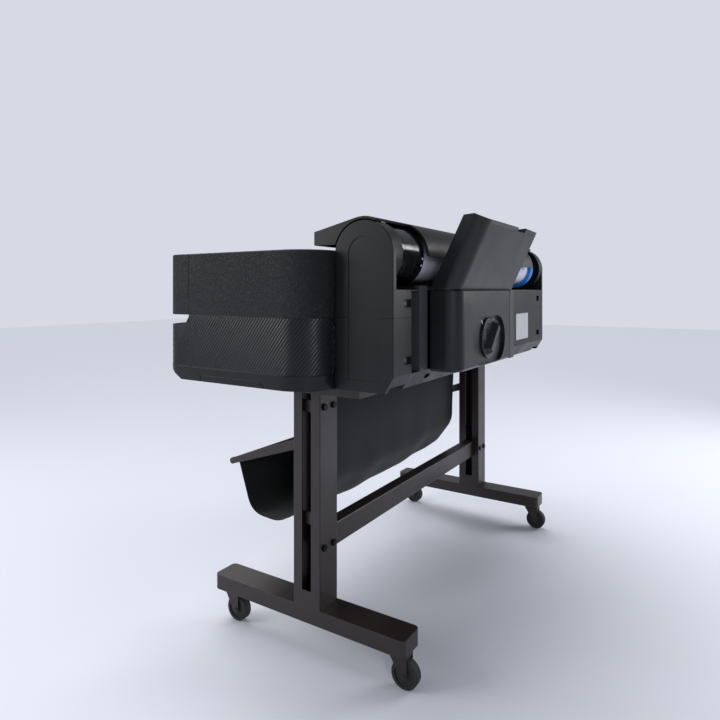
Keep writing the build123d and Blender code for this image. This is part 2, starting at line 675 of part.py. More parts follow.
def rear_strip():
    """Light upright guide strip beside the near housing."""
    shape = block((near(STRIP_INSET + STRIP_WIDTH), near(STRIP_INSET)),
                  (ahead(WALL_AHEAD), ahead(0)), (level(SILL_TOP), level(BLOCK_HEIGHT - FRAME_WALL)))
    shape += block((near(STRIP_INSET + STRIP_WIDTH), near(STRIP_INSET)),
                   (ahead(8), ahead(0) + CLEARANCE), (level(BLOCK_HEIGHT), level(STRIP_HEIGHT)))
    return shape + block((near(STRIP_INSET + STRIP_WIDTH), near(STRIP_INSET)),
                         (ahead(0), ahead(-3)), (level(SILL_TOP), level(STRIP_HEIGHT)))


REAR_PANEL_SEAM = 163.0


def rear_panel():
    """Flat panel between the feeder's end post and the far housing."""
    x1 = near(FEEDER_INSET + FEEDER_WIDTH + FEEDER_POST_WIDTH)
    x0 = -near(INNER_INSET) + CLEARANCE
    shape = block((x0, x1), (ahead(WALL_AHEAD), ahead(0)), (level(SILL_TOP), level(BLOCK_HEIGHT - FRAME_WALL)))
    shape -= block((x0 + 4, x1 - 4), (ahead(WALL_AHEAD + 1), ahead(4)),
                   (level(SILL_TOP + 4), level(BLOCK_HEIGHT - FRAME_WALL - 4)))
    shape -= block((x0 - 1, x1 + 1), (ahead(GROOVE), ahead(-1)),
                   (level(REAR_PANEL_SEAM), level(REAR_PANEL_SEAM) + 1.5 * GROOVE))
    shape -= inlet_block(0)
    for inset, height in PANEL_HOLES:
        shape -= rod_y(near(inset), level(height), 2.2, ahead(3), ahead(-1))
    return shape


PANEL_HOLES = ((875.0, 42.0), (1075.0, 42.0), (1118.0, 152.0), (1118.0, 176.0))
LABEL_INSET = (880.0, 1020.0)
LABEL_LEVELS = (58.0, 150.0)
INLET_INSET = 720.0
INLET_LEVEL = 84.0


def label_plate():
    """Bare plate on the rear panel."""
    return block((near(LABEL_INSET[1]), near(LABEL_INSET[0])), (ahead(0), ahead(-0.8)),
                 (level(LABEL_LEVELS[0]), level(LABEL_LEVELS[1])))


def inlet_block(clearance):
    """Space of the mains inlet, shrunk by a clearance."""
    x = near(INLET_INSET)
    return block((x - 24 + clearance, x + 24 - clearance), (ahead(20), ahead(-1)),
                 (level(INLET_LEVEL - 14) + clearance, level(INLET_LEVEL + 14) - clearance))


def power_inlet():
    """Three-pin mains inlet in the rear panel."""
    x = near(INLET_INSET)
    z = level(INLET_LEVEL)
    shape = inlet_block(0) & block((x - 30, x + 30), (ahead(20), ahead(0)), (z - 20, z + 20))
    shape -= block((x - 12, x + 12), (ahead(16), ahead(-1)), (z - 8, z + 8))
    for dx, dz in ((-7, -2.5), (0, 2.5), (7, -2.5)):
        shape += block((x + dx - 1, x + dx + 1), (ahead(17), ahead(4)), (z + dz - 2, z + dz + 2))
    return shape


# Sheet feeder

def feeder_plan(inset, width=FEEDER_WIDTH):
    """Plan of the feeder box, rounded at its near rear corner and drawn in (x, y)."""
    x1 = near(FEEDER_INSET) - inset
    x0 = near(FEEDER_INSET + width) + inset
    face = Pos((x0 + x1) / 2, ahead(-FEEDER_DEPTH / 2)) * Rectangle(x1 - x0, FEEDER_DEPTH - 2 * inset)
    corner = face.vertices().group_by(Axis.Y)[-1].sort_by(Axis.X)[-1]
    return fillet(corner, FEEDER_CORNER_R - inset)


def support_plan(inset):
    """Plan of the closed paper support, just inside the outline of the feeder box and its end post."""
    return feeder_plan(SUPPORT_INSET + inset, FEEDER_WIDTH + FEEDER_POST_WIDTH)


def support_channel():
    """Space under the feeder's top that the support's side walls dip into when it closes.

    At the rounded corner the walls also move rearward as they rise, so the channel is wider there.
    """
    top = level(FEEDER_TOP)
    low = top - CHANNEL_DEPTH
    outer = along_z(support_plan(-CLEARANCE), low, top + 10)
    inner = along_z(support_plan(SUPPORT_WALL + CLEARANCE), low - 1, top + 11)
    reach = support_pin()[0] + 2
    corner = block((near(FEEDER_INSET + FEEDER_CORNER_R), X_END), (ahead(-LIP_CLEAR + 1), reach), (low, top + 10))
    band = (outer - inner) + ((outer - Pos(0, -CORNER_SWEEP, 0) * inner) & corner)
    return band & block((-X_END, X_END), (ahead(-LIP_CLEAR + 1), reach), (low, top + 10))


def feeder_box():
    """Box with the knob recess in its rear face and the sheet slot in its top."""
    shape = along_z(feeder_plan(0), level(FEEDER_BOTTOM), level(FEEDER_TOP))
    shape = chamfer(shape.faces().sort_by(Axis.Z)[0].edges().sort_by(Axis.Y)[-1], 6)
    x1 = near(FEEDER_INSET) - FEEDER_WALL
    x0 = near(FEEDER_INSET + FEEDER_WIDTH) + FEEDER_WALL
    shape -= block((x0, x1), (ahead(1), ahead(-FEEDER_DEPTH / 2 - 6)),
                   (level(FEEDER_BOTTOM + 4), level(FEEDER_TOP - 6)))
    middle = near(FEEDER_INSET + FEEDER_WIDTH / 2)
    half = SHEET_SLOT_WIDTH / 2
    shape -= block((middle - half, middle + half), (ahead(-10), ahead(-10 - SHEET_SLOT_DEPTH)),
                   (level(FEEDER_TOP - 10), level(FEEDER_TOP + 1)))
    x_recess = near(KNOB_INSET - 8)
    recess = Pos(x_recess, level(KNOB_LEVEL - 4)) * SlotOverall(RECESS_WIDTH, RECESS_HEIGHT)
    shape -= along_y(recess, ahead(-FEEDER_DEPTH + RECESS_DEPTH), ahead(-FEEDER_DEPTH - 1))
    shape -= rod_y(near(KNOB_INSET), level(KNOB_LEVEL), KNOB_SHAFT_R + RUNNING_FIT,
                   ahead(-FEEDER_DEPTH / 2), ahead(-FEEDER_DEPTH - 1))
    return shape - support_channel() + hinge_lug(0)


def support_pin():
    """Y and Z of the paper support's hinge pins."""
    y = ahead(-(FEEDER_DEPTH - SUPPORT_INSET - SUPPORT_PIN_IN))
    z = level(FEEDER_TOP + SUPPORT_GAP) + SUPPORT_PIN_RISE
    return y, z


LUG_WIDTH = 8.0
LUG_R = 4.5


def lug_x(side):
    """Near edge of a hinge lug, just inside the support's side wall."""
    if side:
        return (near(FEEDER_INSET + FEEDER_WIDTH + FEEDER_POST_WIDTH) + SUPPORT_INSET + SUPPORT_WALL
                + 2 * CLEARANCE + LUG_WIDTH)
    return near(FEEDER_INSET + FEEDER_CORNER_R + 6) - SUPPORT_WALL


def hinge_lug(side):
    """Lug on top of the feeder box or its end post."""
    y, z = support_pin()
    x1 = lug_x(side)
    x0 = x1 - LUG_WIDTH
    shape = rod_x(y, z, LUG_R, x0, x1)
    shape += block((x0, x1), (y - LUG_R, y - 1.5), (level(FEEDER_TOP), z))
    return shape - rod_x(y, z, SUPPORT_PIN_R + RUNNING_FIT, x0 - 1, x1 + 1)


def feeder_end_post():
    """Upright frame post beside the feeder box."""
    x1 = near(FEEDER_INSET + FEEDER_WIDTH + 3.0)
    x0 = near(FEEDER_INSET + FEEDER_WIDTH + FEEDER_POST_WIDTH)
    shape = block((x0, x1), (ahead(0), ahead(-FEEDER_DEPTH)), (level(FEEDER_BOTTOM), level(FEEDER_TOP)))
    shape = fillet(shape.edges().filter_by(Axis.Z).group_by(Axis.Y)[-1], 3)
    shape += block((x0, near(FEEDER_INSET + FEEDER_WIDTH)), (ahead(0), ahead(-12)),
                   (level(FEEDER_BOTTOM), level(FEEDER_TOP)))
    return shape - support_channel() + hinge_lug(1)


def lock_knob():
    """Quarter-turn knob with a tapered grip bar across its disc, turned to its right-hand mark."""
    base = -(FEEDER_DEPTH - RECESS_DEPTH) - CLEARANCE
    x, z = near(KNOB_INSET), level(KNOB_LEVEL)
    shape = rod_y(x, z, KNOB_R, ahead(base), ahead(base - KNOB_DISC))
    shape = chamfer(shape.faces().sort_by(Axis.Y)[-1].edges(), 2)
    foot = Plane.XZ.offset(-ahead(base - KNOB_DISC)) * Rectangle(KNOB_GRIP_WIDTH, 2 * KNOB_R - 10)
    crest = Plane.XZ.offset(-ahead(base - KNOB_DISC - KNOB_GRIP_HEIGHT)) * Rectangle(
        KNOB_GRIP_WIDTH * 0.55, 2 * KNOB_R - 26)
    grip = loft([foot, crest])
    shape += Pos(x, 0, z) * Rot(0, -KNOB_ANGLE, 0) * grip
    return shape + rod_y(x, z, KNOB_SHAFT_R, ahead(-FEEDER_DEPTH / 2 - 8), ahead(base))


def tilt(shape):
    """Turn the paper support outward about its pins."""
    y, z = support_pin()
    return Pos(0, y, z) * Rot(-SUPPORT_TILT, 0, 0) * Pos(0, -y, -z) * shape


def paper_support():
    """Tray that continues the feeder's rear face, near corner and side walls upward.

    Its walls reach below the feeder's top when it is closed, so that they end level when it is open.
    """
    z0 = level(FEEDER_TOP + SUPPORT_GAP)
    z1 = z0 + SUPPORT_HEIGHT
    low = z0 - SUPPORT_SKIRT
    shape = along_z(support_plan(0), low, z1) - along_z(support_plan(SUPPORT_WALL), low - 1, z1 + 1)
    front = polygon((ahead(-LIP_LOW), low - 1), (ahead(-LIP_HIGH), z1 - LIP_CORNER),
                    (ahead(-FEEDER_DEPTH + FEEDER_CORNER_R), z1), (ahead(-FEEDER_DEPTH + FEEDER_CORNER_R), z1 + 1),
                    (ahead(60), z1 + 1), (ahead(60), low - 1))
    shape -= along_x(front, -X_END, X_END)
    face_y = ahead(-FEEDER_DEPTH + SUPPORT_INSET)
    x_cap = near(FEEDER_INSET + EXTENSION_OFFSET)
    shape -= block((x_cap - EXTENSION_WIDTH - EXTENSION_NOTCH, x_cap), (face_y - 10, face_y + 1),
                   (z1 - EXTENSION_CAP, z1 + 1))
    for x in (x_cap + 2, x_cap - EXTENSION_WIDTH - 2):
        shape += block((x - 1.8, x + 1.8), (face_y - SUPPORT_WALL - 5, face_y - SUPPORT_WALL),
                       (z1 - EXTENSION_CAP - 120, z1 - EXTENSION_CAP - 2))
    shape = tilt(shape)
    floor = level(FEEDER_TOP) + SUPPORT_LOW_GAP
    shape -= block((-X_END, X_END), (ahead(200), ahead(-400)), (floor - 100, floor))
    shape -= block((-X_END, X_END), (ahead(200), ahead(-LIP_CLEAR)), (floor - 1, floor + 400))
    y, z = support_pin()
    for side in (0, 1):
        x1 = lug_x(side)
        if side == 0:
            boss = rod_x(y, z, LUG_R, x1 + CLEARANCE, x1 + CLEARANCE + 6)
            boss += block((x1 + CLEARANCE, x1 + CLEARANCE + 6), (y, face_y - 1), (z, z + 14))
            pin = rod_x(y, z, SUPPORT_PIN_R, x1 - LUG_WIDTH, x1 + CLEARANCE + 6)
        else:
            x0 = x1 - LUG_WIDTH
            boss = rod_x(y, z, LUG_R, x0 - 2 * CLEARANCE - 1, x0 - CLEARANCE)
            pin = rod_x(y, z, SUPPORT_PIN_R, x0 - CLEARANCE - 1, x1)
        shape += tilt(boss + pin)
    return shape


def support_extension():
    """Sliding plate behind the support's face with a cap strip to pull."""
    z1 = level(FEEDER_TOP + SUPPORT_GAP) + SUPPORT_HEIGHT
    face_y = ahead(-FEEDER_DEPTH + SUPPORT_INSET)
    x1 = near(FEEDER_INSET + EXTENSION_OFFSET) - CLEARANCE
    x0 = x1 - EXTENSION_WIDTH + 2 * CLEARANCE
    inner = face_y - SUPPORT_WALL - CLEARANCE
    plate = block((x0, x1), (inner - 2.4, inner), (z1 - EXTENSION_LENGTH, z1))
    cap = block((x0, x1), (inner - 2.4, face_y - 1), (z1 - EXTENSION_CAP + CLEARANCE, z1))
    return tilt(plate + cap)


# Print engine

def side_frames():
    """Two sheet plates that carry the rail, rollers and platen."""
    y_front = ahead(BODY_DEPTH - SLOT_DEPTH) + 8
    plate = block((X_FRAME, X_FRAME + FRAME_WALL), (y_front, Y_BODY_REAR - 2 * SHELL_WALL - 2),
                  (level(SHELL_WALL), level(FRONT_HEIGHT - 20)))
    for y, z, r in (roller_axis() + (5.0,), pinch_axis() + (3.0,)):
        plate -= rod_x(y, z, r + RUNNING_FIT, X_FRAME - 1, X_FRAME + FRAME_WALL + 1)
    return join([plate, far(plate)])


def roller_axis():
    """Y and Z of the feed roller."""
    return ahead(FEED_AHEAD), level(PLATEN_HEIGHT) - FEED_R


def pinch_axis():
    """Y and Z of the pinch roller above the feed roller."""
    y, z = roller_axis()
    return y, z + FEED_R + PINCH_R + CLEARANCE


STATION_X = (X_FRAME - 130.0, X_FRAME - 8.0)


def platen():
    """Ribbed plate that the paper lies on under the carriage."""
    y1 = ahead(PLATEN_AHEAD)
    y0 = y1 - PLATEN_LENGTH
    z1 = level(PLATEN_HEIGHT)
    shape = block((-X_FRAME, X_FRAME), (y0, y1), (z1 - 12, z1))
    shape -= block((-X_FRAME + 6, X_FRAME - 6), (y0 + 6, y1 - 6), (z1 - 13, z1 - 4))
    for index in range(18):
        x = -X_FRAME + (index + 0.5) * 2 * X_FRAME / 18
        if x + 14 < STATION_X[0]:
            shape -= block((x - 14, x + 14), (y0 + 30, y1 - 30), (z1 - 2, z1 + 1))
    return shape - block((STATION_X[0] - CLEARANCE, STATION_X[1] + CLEARANCE),
                         (y0 + 34 - CLEARANCE, y1 - 34 + CLEARANCE), (z1 - 2, z1 + 1))


def paper_guide():
    """Sheet that leads paper from the roll bay to the feed roller."""
    y1 = Y_BODY_REAR - 2
    y0 = ahead(FEED_AHEAD) + FEED_R + 4
    z = level(PLATEN_HEIGHT)
    face = polygon((y1, z + 12), (y0, z), (y0, z - 2), (y1, z + 10))
    return along_x(face, -X_FRAME, X_FRAME)


def carriage_rail():
    """Folded rail beam and the two rods that the carriage rides on."""
    y = ahead(RAIL_AHEAD)
    z = level(RAIL_LEVEL)
    beam = block((-X_FRAME, X_FRAME), (y + 12, y + 16), (z - 34, z + 46))
    beam += block((-X_FRAME, X_FRAME), (y - 6, y + 16), (z + 42, z + 46))
    beam -= rod_y(-PULLEY_X, belt_axis()[1], 4, y, y + 20)
    rod = rod_x(y, z - 16, RAIL_ROD_R, -X_FRAME, X_FRAME)
    rod2 = rod_x(y, z + 26, RAIL_ROD_R - 2, -X_FRAME, X_FRAME)
    return join([beam, rod, rod2])


CARRIAGE_X = -60.0


def carriage():
    """Carriage with its bearings, ink chambers and print head nose."""
    y_rod = ahead(RAIL_AHEAD)
    z_rod = level(RAIL_LEVEL)
    x0, x1 = CARRIAGE_X - CARRIAGE_WIDTH / 2, CARRIAGE_X + CARRIAGE_WIDTH / 2
    y1 = y_rod - 26
    y0 = y1 - CARRIAGE_DEPTH
    z0 = level(PLATEN_HEIGHT) + HEAD_GAP
    body = block((x0, x1), (y0, y1), (z0 + 14, z0 + 14 + CARRIAGE_HEIGHT))
    body = chamfer(body.edges().filter_by(Axis.X).group_by(Axis.Z)[-1].sort_by(Axis.Y)[0], 18)
    body += block((x0 + 14, x1 - 14), (y0 + 24, y1 - 30), (z0, z0 + 14))
    bearing = block((x0, x1), (y1 - 1, y_rod + 10), (z_rod - 27, z_rod - 6))
    bearing += block((x0, x1), (y1 - 1, y_rod + 8), (z_rod + 18, z_rod + 34))
    body += bearing
    for index in range(3):
        x = x0 + (index + 1) * CARRIAGE_WIDTH / 4
        body -= block((x - 0.8, x + 0.8), (y0 + 26, y1 - 6),
                      (z0 + 14 + CARRIAGE_HEIGHT - 3, z0 + 15 + CARRIAGE_HEIGHT))
    body -= rod_x(y_rod, z_rod - 16, RAIL_ROD_R + RUNNING_FIT, x0 - 1, x1 + 1)
    return body - rod_x(y_rod, z_rod + 26, RAIL_ROD_R - 2 + RUNNING_FIT, x0 - 1, x1 + 1)


BELT_BACK = 4.0
PULLEY_X = X_FRAME - 26.0


def belt_axis():
    """Y and Z of the belt pulleys' middle, between the two rods."""
    return ahead(RAIL_AHEAD) + BELT_BACK, level(RAIL_LEVEL) + 5


def drive_belt():
    """Flat toothed belt round both pulleys."""
    y, z = belt_axis()
    r = PULLEY_R
    outer = SlotCenterToCenter(2 * PULLEY_X, 2 * (r + BELT_THICKNESS))
    inner = SlotCenterToCenter(2 * PULLEY_X, 2 * r)
    return Pos(0, 0, z) * along_y(outer - inner, y - BELT_WIDTH / 2, y + BELT_WIDTH / 2)


def pulley(x):
    """Belt pulley with two rims."""
    y, z = belt_axis()
    shape = rod_y(x, z, PULLEY_R, y - BELT_WIDTH / 2 - 1, y + BELT_WIDTH / 2 + 1)
    for side in (-1, 1):
        edge = y + side * (BELT_WIDTH / 2 + 1.6)
        shape += rod_y(x, z, PULLEY_R - 3, edge - 0.6, edge + 0.6)
    return shape - rod_y(x, z, 2.5 + RUNNING_FIT, y - 10, y + 10)


def carriage_motor():
    """Motor behind the rail with the shaft that carries the drive pulley."""
    y, z = belt_axis()
    back = ahead(RAIL_AHEAD) + 16
    can = rod_y(-PULLEY_X, z, 21, back, back + 46)
    return can + rod_y(-PULLEY_X, z, 2.5, y - BELT_WIDTH / 2 - 3, back)


def idler_pin():
    """Pin on the rail beam that carries the idler pulley."""
    y, z = belt_axis()
    return rod_y(PULLEY_X, z, 2.5, y - BELT_WIDTH / 2 - 3, ahead(RAIL_AHEAD) + 12)


def feed_roller():
    """Grit roller across the platen's rear edge, with its gear."""
    y, z = roller_axis()
    shape = rod_x(y, z, FEED_R, -X_FRAME + 4, X_FRAME - 4)
    shape += rod_x(y, z, 5.0, -X_FRAME - 24, X_FRAME + 8)
    return shape + rod_x(y, z, 22.0, -X_FRAME - 18, -X_FRAME - 10)


def pinch_rollers():
    """Row of rubber rollers on one shaft above the feed roller."""
    y, z = pinch_axis()
    shape = rod_x(y, z, 3.0, -X_FRAME - 8, X_FRAME + 8)
    count = 8
    for index in range(count):
        x = -X_FRAME + (index + 0.5) * 2 * X_FRAME / count
        shape += rod_x(y, z, PINCH_R, x - 22, x + 22)
    return shape


def feed_motor():
    """Stepper that drives the feed roller's gear, on the outside of the far frame."""
    y, z = roller_axis()
    y_motor = y + 22.0 + 9.0
    shape = block((-X_FRAME - FRAME_WALL - 48, -X_FRAME - FRAME_WALL - 20), (y_motor - 4, y_motor + 38),
                  (z - 30, z + 12))
    shape += block((-X_FRAME - FRAME_WALL - 20, -X_FRAME - FRAME_WALL), (y_motor + 22, y_motor + 38),
                   (z - 30, z + 12))
    return shape + rod_x(y_motor, z, 8.6, -X_FRAME - FRAME_WALL - 20, -X_FRAME - FRAME_WALL - 6)


def service_station():
    """Capping and wiping tray at the near end of the carriage's travel."""
    z = level(PLATEN_HEIGHT)
    y1 = ahead(PLATEN_AHEAD)
    y0 = y1 - PLATEN_LENGTH
    shape = block(STATION_X, (y0 + 34, y1 - 34), (z - 2, z + 0.6))
    return shape + block((STATION_X[0] + 10, STATION_X[0] + 40), (y0 + 40, y1 - 40), (z + 0.6, z + 1.8))


BOX_AHEAD = PLATEN_AHEAD - 208.0


def electronics_box():
    """Screened box for the boards and the power supply, on the floor of the front body."""
    return block((-X_FRAME + 30, -X_FRAME + 330), (ahead(BOX_AHEAD + 160), ahead(BOX_AHEAD)), (level(SHELL_WALL), level(90)))


INK_AHEAD = (BODY_DEPTH - 295.0, BODY_DEPTH - 129.0)


def ink_holder():
    """Bay for the ink cartridges beside the far frame."""
    x0 = -X_SIDE + SHELL_WALL + 14
    x1 = x0 + CARTRIDGE_COUNT * (CARTRIDGE_WIDTH + 2) + 8
    y0, y1 = ahead(INK_AHEAD[1]), ahead(INK_AHEAD[0])
    z = level(SEAM_HEIGHT)
    shape = block((x0, x1), (y0, y1), (z + 6, z + 90))
    for index in range(CARTRIDGE_COUNT):
        x = x0 + 5 + index * (CARTRIDGE_WIDTH + 2)
        shape -= block((x, x + CARTRIDGE_WIDTH), (y0 + 6, y1 - 6), (z + 12, z + 91))
    return shape + block((x0, x1), (y0, y1), (level(SHELL_WALL), z + 6))


def ink_cartridges():
    """Row of ink cartridges standing in the holder."""
    x0 = -X_SIDE + SHELL_WALL + 14
    y0, y1 = ahead(INK_AHEAD[1]), ahead(INK_AHEAD[0])
    z = level(SEAM_HEIGHT)
    items = []
    for index in range(CARTRIDGE_COUNT):
        x = x0 + 5 + index * (CARTRIDGE_WIDTH + 2) + CLEARANCE
        item = block((x, x + CARTRIDGE_WIDTH - 2 * CLEARANCE), (y0 + 8, y1 - 8), (z + 12, z + 112))
        items.append(item)
    return join(items)


INK_COVER_X = (X_LID + 14.0, X_SIDE - 16.0)
INK_COVER_AHEAD = (BODY_DEPTH - 345.0, BODY_DEPTH - 115.0)


def ink_cover_space(clearance):
    """Space of the ink cover in the far cap's top."""
    return block((-INK_COVER_X[1] + clearance, -INK_COVER_X[0] - clearance),
                 (ahead(INK_COVER_AHEAD[1]) + clearance, ahead(INK_COVER_AHEAD[0]) - clearance),
                 (level(FRONT_HEIGHT) - SHELL_WALL - 1, level(FRONT_HEIGHT) + 1))


def ink_hinge_x():
    """X of the two hinge stations of the ink cover."""
    return (-INK_COVER_X[1] + 30, -INK_COVER_X[0] - 30)


def ink_cover():
    """Lid over the ink cartridges, hinged at its rear edge."""
    top = level(FRONT_HEIGHT)
    y_edge = ahead(INK_COVER_AHEAD[0])
    shape = ink_cover_space(PANEL_GAP) & block((-X_SIDE, 0), (Y_BODY_FRONT, y_edge - HINGE_GAP),
                                               (top - SHELL_WALL, top))
    for x in ink_hinge_x():
        shape = flush_lugs(shape, x, y_edge - HINGE_IN, top, y_edge)
    return shape


def ink_hinge():
    """Ears and pins under the far cap's top, for the ink cover."""
    top = level(FRONT_HEIGHT)
    y_edge = ahead(INK_COVER_AHEAD[0])
    shape = Part()
    for x in ink_hinge_x():
        shape += flush_ear(x, y_edge - HINGE_IN, top, y_edge)
        shape += flush_pin(x, y_edge - HINGE_IN, top)
    return shape


PANEL_X = (X_LID + 16.0, X_SIDE - 24.0)
PANEL_AHEAD = (BODY_DEPTH - 245.0, BODY_DEPTH - 105.0)
BUTTON_AHEAD = PANEL_AHEAD[1] - 162.0


def panel_space(clearance, depth):
    """Space of the control panel in the near cap's top."""
    return block((PANEL_X[0] + clearance, PANEL_X[1] - clearance),
                 (ahead(PANEL_AHEAD[1]) + clearance, ahead(PANEL_AHEAD[0]) - clearance),
                 (level(FRONT_HEIGHT) - depth, level(FRONT_HEIGHT) + 1))


def control_panel():
    """Flush panel with a display, set in the near cap."""
    top = level(FRONT_HEIGHT)
    shape = panel_space(CLEARANCE, SHELL_WALL) & block((0, X_SIDE), (Y_BODY_FRONT, Y_BODY_REAR),
                                                       (top - SHELL_WALL, top))
    shape += block((PANEL_X[0] - 4, PANEL_X[1] + 4), (ahead(PANEL_AHEAD[1] + 4), ahead(PANEL_AHEAD[0] - 4)),
                   (top - SHELL_WALL - 8, top - SHELL_WALL))
    screen = block((PANEL_X[0] + 10, PANEL_X[1] - 10), (ahead(PANEL_AHEAD[1] - 14), ahead(PANEL_AHEAD[0] + 30)),
                   (top - 0.6, top + 1))
    return shape - screen


def button_xy():
    """X and Y of the power button."""
    return PANEL_X[0] + 20, ahead(BUTTON_AHEAD)


def power_button():
    """Round push button beside the control panel."""
    x, y = button_xy()
    top = level(FRONT_HEIGHT)
    shape = rod_z(x, y, BUTTON_R, top - SHELL_WALL - 3, top + 0.8)
    return chamfer(shape.faces().sort_by(Axis.Z)[-1].edges(), 0.6)


def button_seat():
    """Cup under the near cap's top that holds the power button."""
    x, y = button_xy()
    top = level(FRONT_HEIGHT) - SHELL_WALL
    shape = rod_z(x, y, BUTTON_R + 4, top - 3 - BUTTON_TRAVEL - 3, top)
    return shape - rod_z(x, y, BUTTON_R + CLEARANCE, top - 3 - BUTTON_TRAVEL - 0.5, top + 1)


# Stand

X_POST = near(POST_INSET + POST_WIDTH / 2)
Y_POST = ahead(POST_AHEAD + POST_DEPTH / 2)
POST_TOP = BODY_LEVEL - HEAD_WALL


def stand_post():
    """Slotted post: a tube open in the middle of its outer and inner sides, with a cross bar."""
    z0 = CASTER_HEIGHT + FOOT_HEIGHT
    outer = Pos(X_POST, Y_POST) * RectangleRounded(POST_WIDTH, POST_DEPTH, 3)
    inner = Pos(X_POST, Y_POST) * Rectangle(POST_WIDTH - 2 * POST_WALL, POST_DEPTH - 2 * POST_WALL)
    shape = along_z(outer - inner, z0, POST_TOP)
    shape -= block((X_POST - POST_WIDTH, X_POST + POST_WIDTH),
                   (Y_POST - POST_SLOT / 2, Y_POST + POST_SLOT / 2), (z0 + 40, POST_TOP - 6))
    half = POST_DEPTH / 2 - POST_WALL
    for height in (-76.0, -360.0):
        shape += block((X_POST + POST_WIDTH / 2 - 20, X_POST + POST_WIDTH / 2 - 14),
                       (Y_POST - half, Y_POST + half), (level(height), level(height + 31)))
    return shape


def stand_head():
    """Inverted tray between the post and the body."""
    x0 = X_POST - POST_WIDTH / 2 - HEAD_WALL
    x1 = X_POST + POST_WIDTH / 2 + HEAD_WALL
    y1 = ahead(HEAD_AHEAD)
    y0 = y1 - HEAD_LENGTH
    shape = block((x0, x1), (y0, y1), (level(-HEAD_WEB), level(0)))
    shape -= block((x0 + HEAD_WALL, x1 - HEAD_WALL), (y0 + HEAD_WALL, y1 - HEAD_WALL),
                   (level(-HEAD_WEB - 1), level(-HEAD_WALL)))
    return shape


CASTER_AHEADS = (FOOT_AHEAD + CASTER_INSET, FOOT_AHEAD + FOOT_LENGTH - CASTER_INSET)


def stand_foot():
    """Floor beam with the two caster sockets."""
    z0, z1 = CASTER_HEIGHT, CASTER_HEIGHT + FOOT_HEIGHT
    x0, x1 = X_POST - POST_WIDTH / 2, X_POST + POST_WIDTH / 2
    y1 = ahead(FOOT_AHEAD)
    y0 = y1 - FOOT_LENGTH
    shape = block((x0, x1), (y0, y1), (z0, z1))
    shape = fillet(shape.edges().filter_by(Axis.Z), 12)
    shape -= block((x0 + FOOT_WALL, x1 - FOOT_WALL), (y0 + 14, y1 - 14), (z0 + FOOT_WALL, z1 - FOOT_WALL))
    for distance in CASTER_AHEADS:
        shape += rod_z(X_POST, ahead(distance), STEM_R + 7, z0, z1 - 1)
        shape -= rod_z(X_POST, ahead(distance), STEM_R + RUNNING_FIT, z0 - 1, z0 + 30)
    return shape


def cross_beam():
    """Box beam between the posts."""
    x = X_POST - POST_WIDTH / 2
    shape = block((-x, x), (Y_POST - BEAM_DEPTH / 2, Y_POST + BEAM_DEPTH / 2),
                  (BEAM_LEVEL, BEAM_LEVEL + BEAM_HEIGHT))
    shape = fillet(shape.edges().filter_by(Axis.X), 4)
    return shape - block((-x + 6, x - 6), (Y_POST - BEAM_DEPTH / 2 + 3, Y_POST + BEAM_DEPTH / 2 - 3),
                         (BEAM_LEVEL + 3, BEAM_LEVEL + BEAM_HEIGHT - 3))


def stand_bolts():
    """Bolts on the rear faces of the posts."""
    y = Y_POST + POST_DEPTH / 2
    bolts = []
    for dx in (-20.0, 20.0):
        for z in (level(-59.0), BEAM_LEVEL + BEAM_HEIGHT / 2):
            head = along_y(Pos(X_POST + dx, z) * RegularPolygon(9, 6), y, y + 5)
            bolts += [head, far(head)]
    return join(bolts)


def basket_point(index):
    """Y and Z of a point of the basket."""
    distance, drop = BASKET_POINTS[index]
    return ahead(distance), level(drop)


def basket_half_width():
    """Half of the cloth's width, just inside the arms."""
    return X_POST - POST_WIDTH / 2 - 16


def basket_frame():
    """Two rods and two arms that hold the cloth."""
    x = X_POST - POST_WIDTH / 2
    rear_y, rear_z = basket_point(0)
    front_y, front_z = basket_point(-1)
    post_front = Y_POST - POST_DEPTH / 2
    rear = rod_x(rear_y, rear_z, BASKET_ROD_R, -x - 20, x + 20)
    front = rod_x(front_y, front_z, BASKET_ROD_R, -x, x)
    bracket = block((x + 4, x + 16), (rear_y, post_front), (rear_z - 9, rear_z + 9))
    arm_top, arm_low = (level(height) for height in BASKET_ARM_LEVELS)
    arm = along_x(polygon((post_front, arm_top), (front_y, front_z + 9), (front_y, front_z - 9),
                          (post_front, arm_low)), x, x + 10)
    arm += rod_x(front_y, front_z, 9, x, x + 10)
    shape = front + arm + far(arm)
    return join([rear + bracket + far(bracket), shape])


def catch_basket():
    """Cloth that hangs between the two rods in a bow."""
    points = [basket_point(index) for index in range(len(BASKET_POINTS))]
    path = FilletPolyline(*points, radius=list(BASKET_RADII))
    half = basket_half_width()
    face = trace(path, BASKET_CLOTH)
    shape = along_x(face, -half, half)
    for y, z in (points[0], points[-1]):
        shape -= rod_x(y, z, BASKET_ROD_R + 0.1, -half - 1, half + 1)
    return max(shape.solids(), key=lambda solid: solid.volume)


def caster_places():
    """X and Y of the four caster stems, front ones first."""
    return [(side * X_POST, ahead(distance)) for distance in reversed(CASTER_AHEADS) for side in (1, -1)]


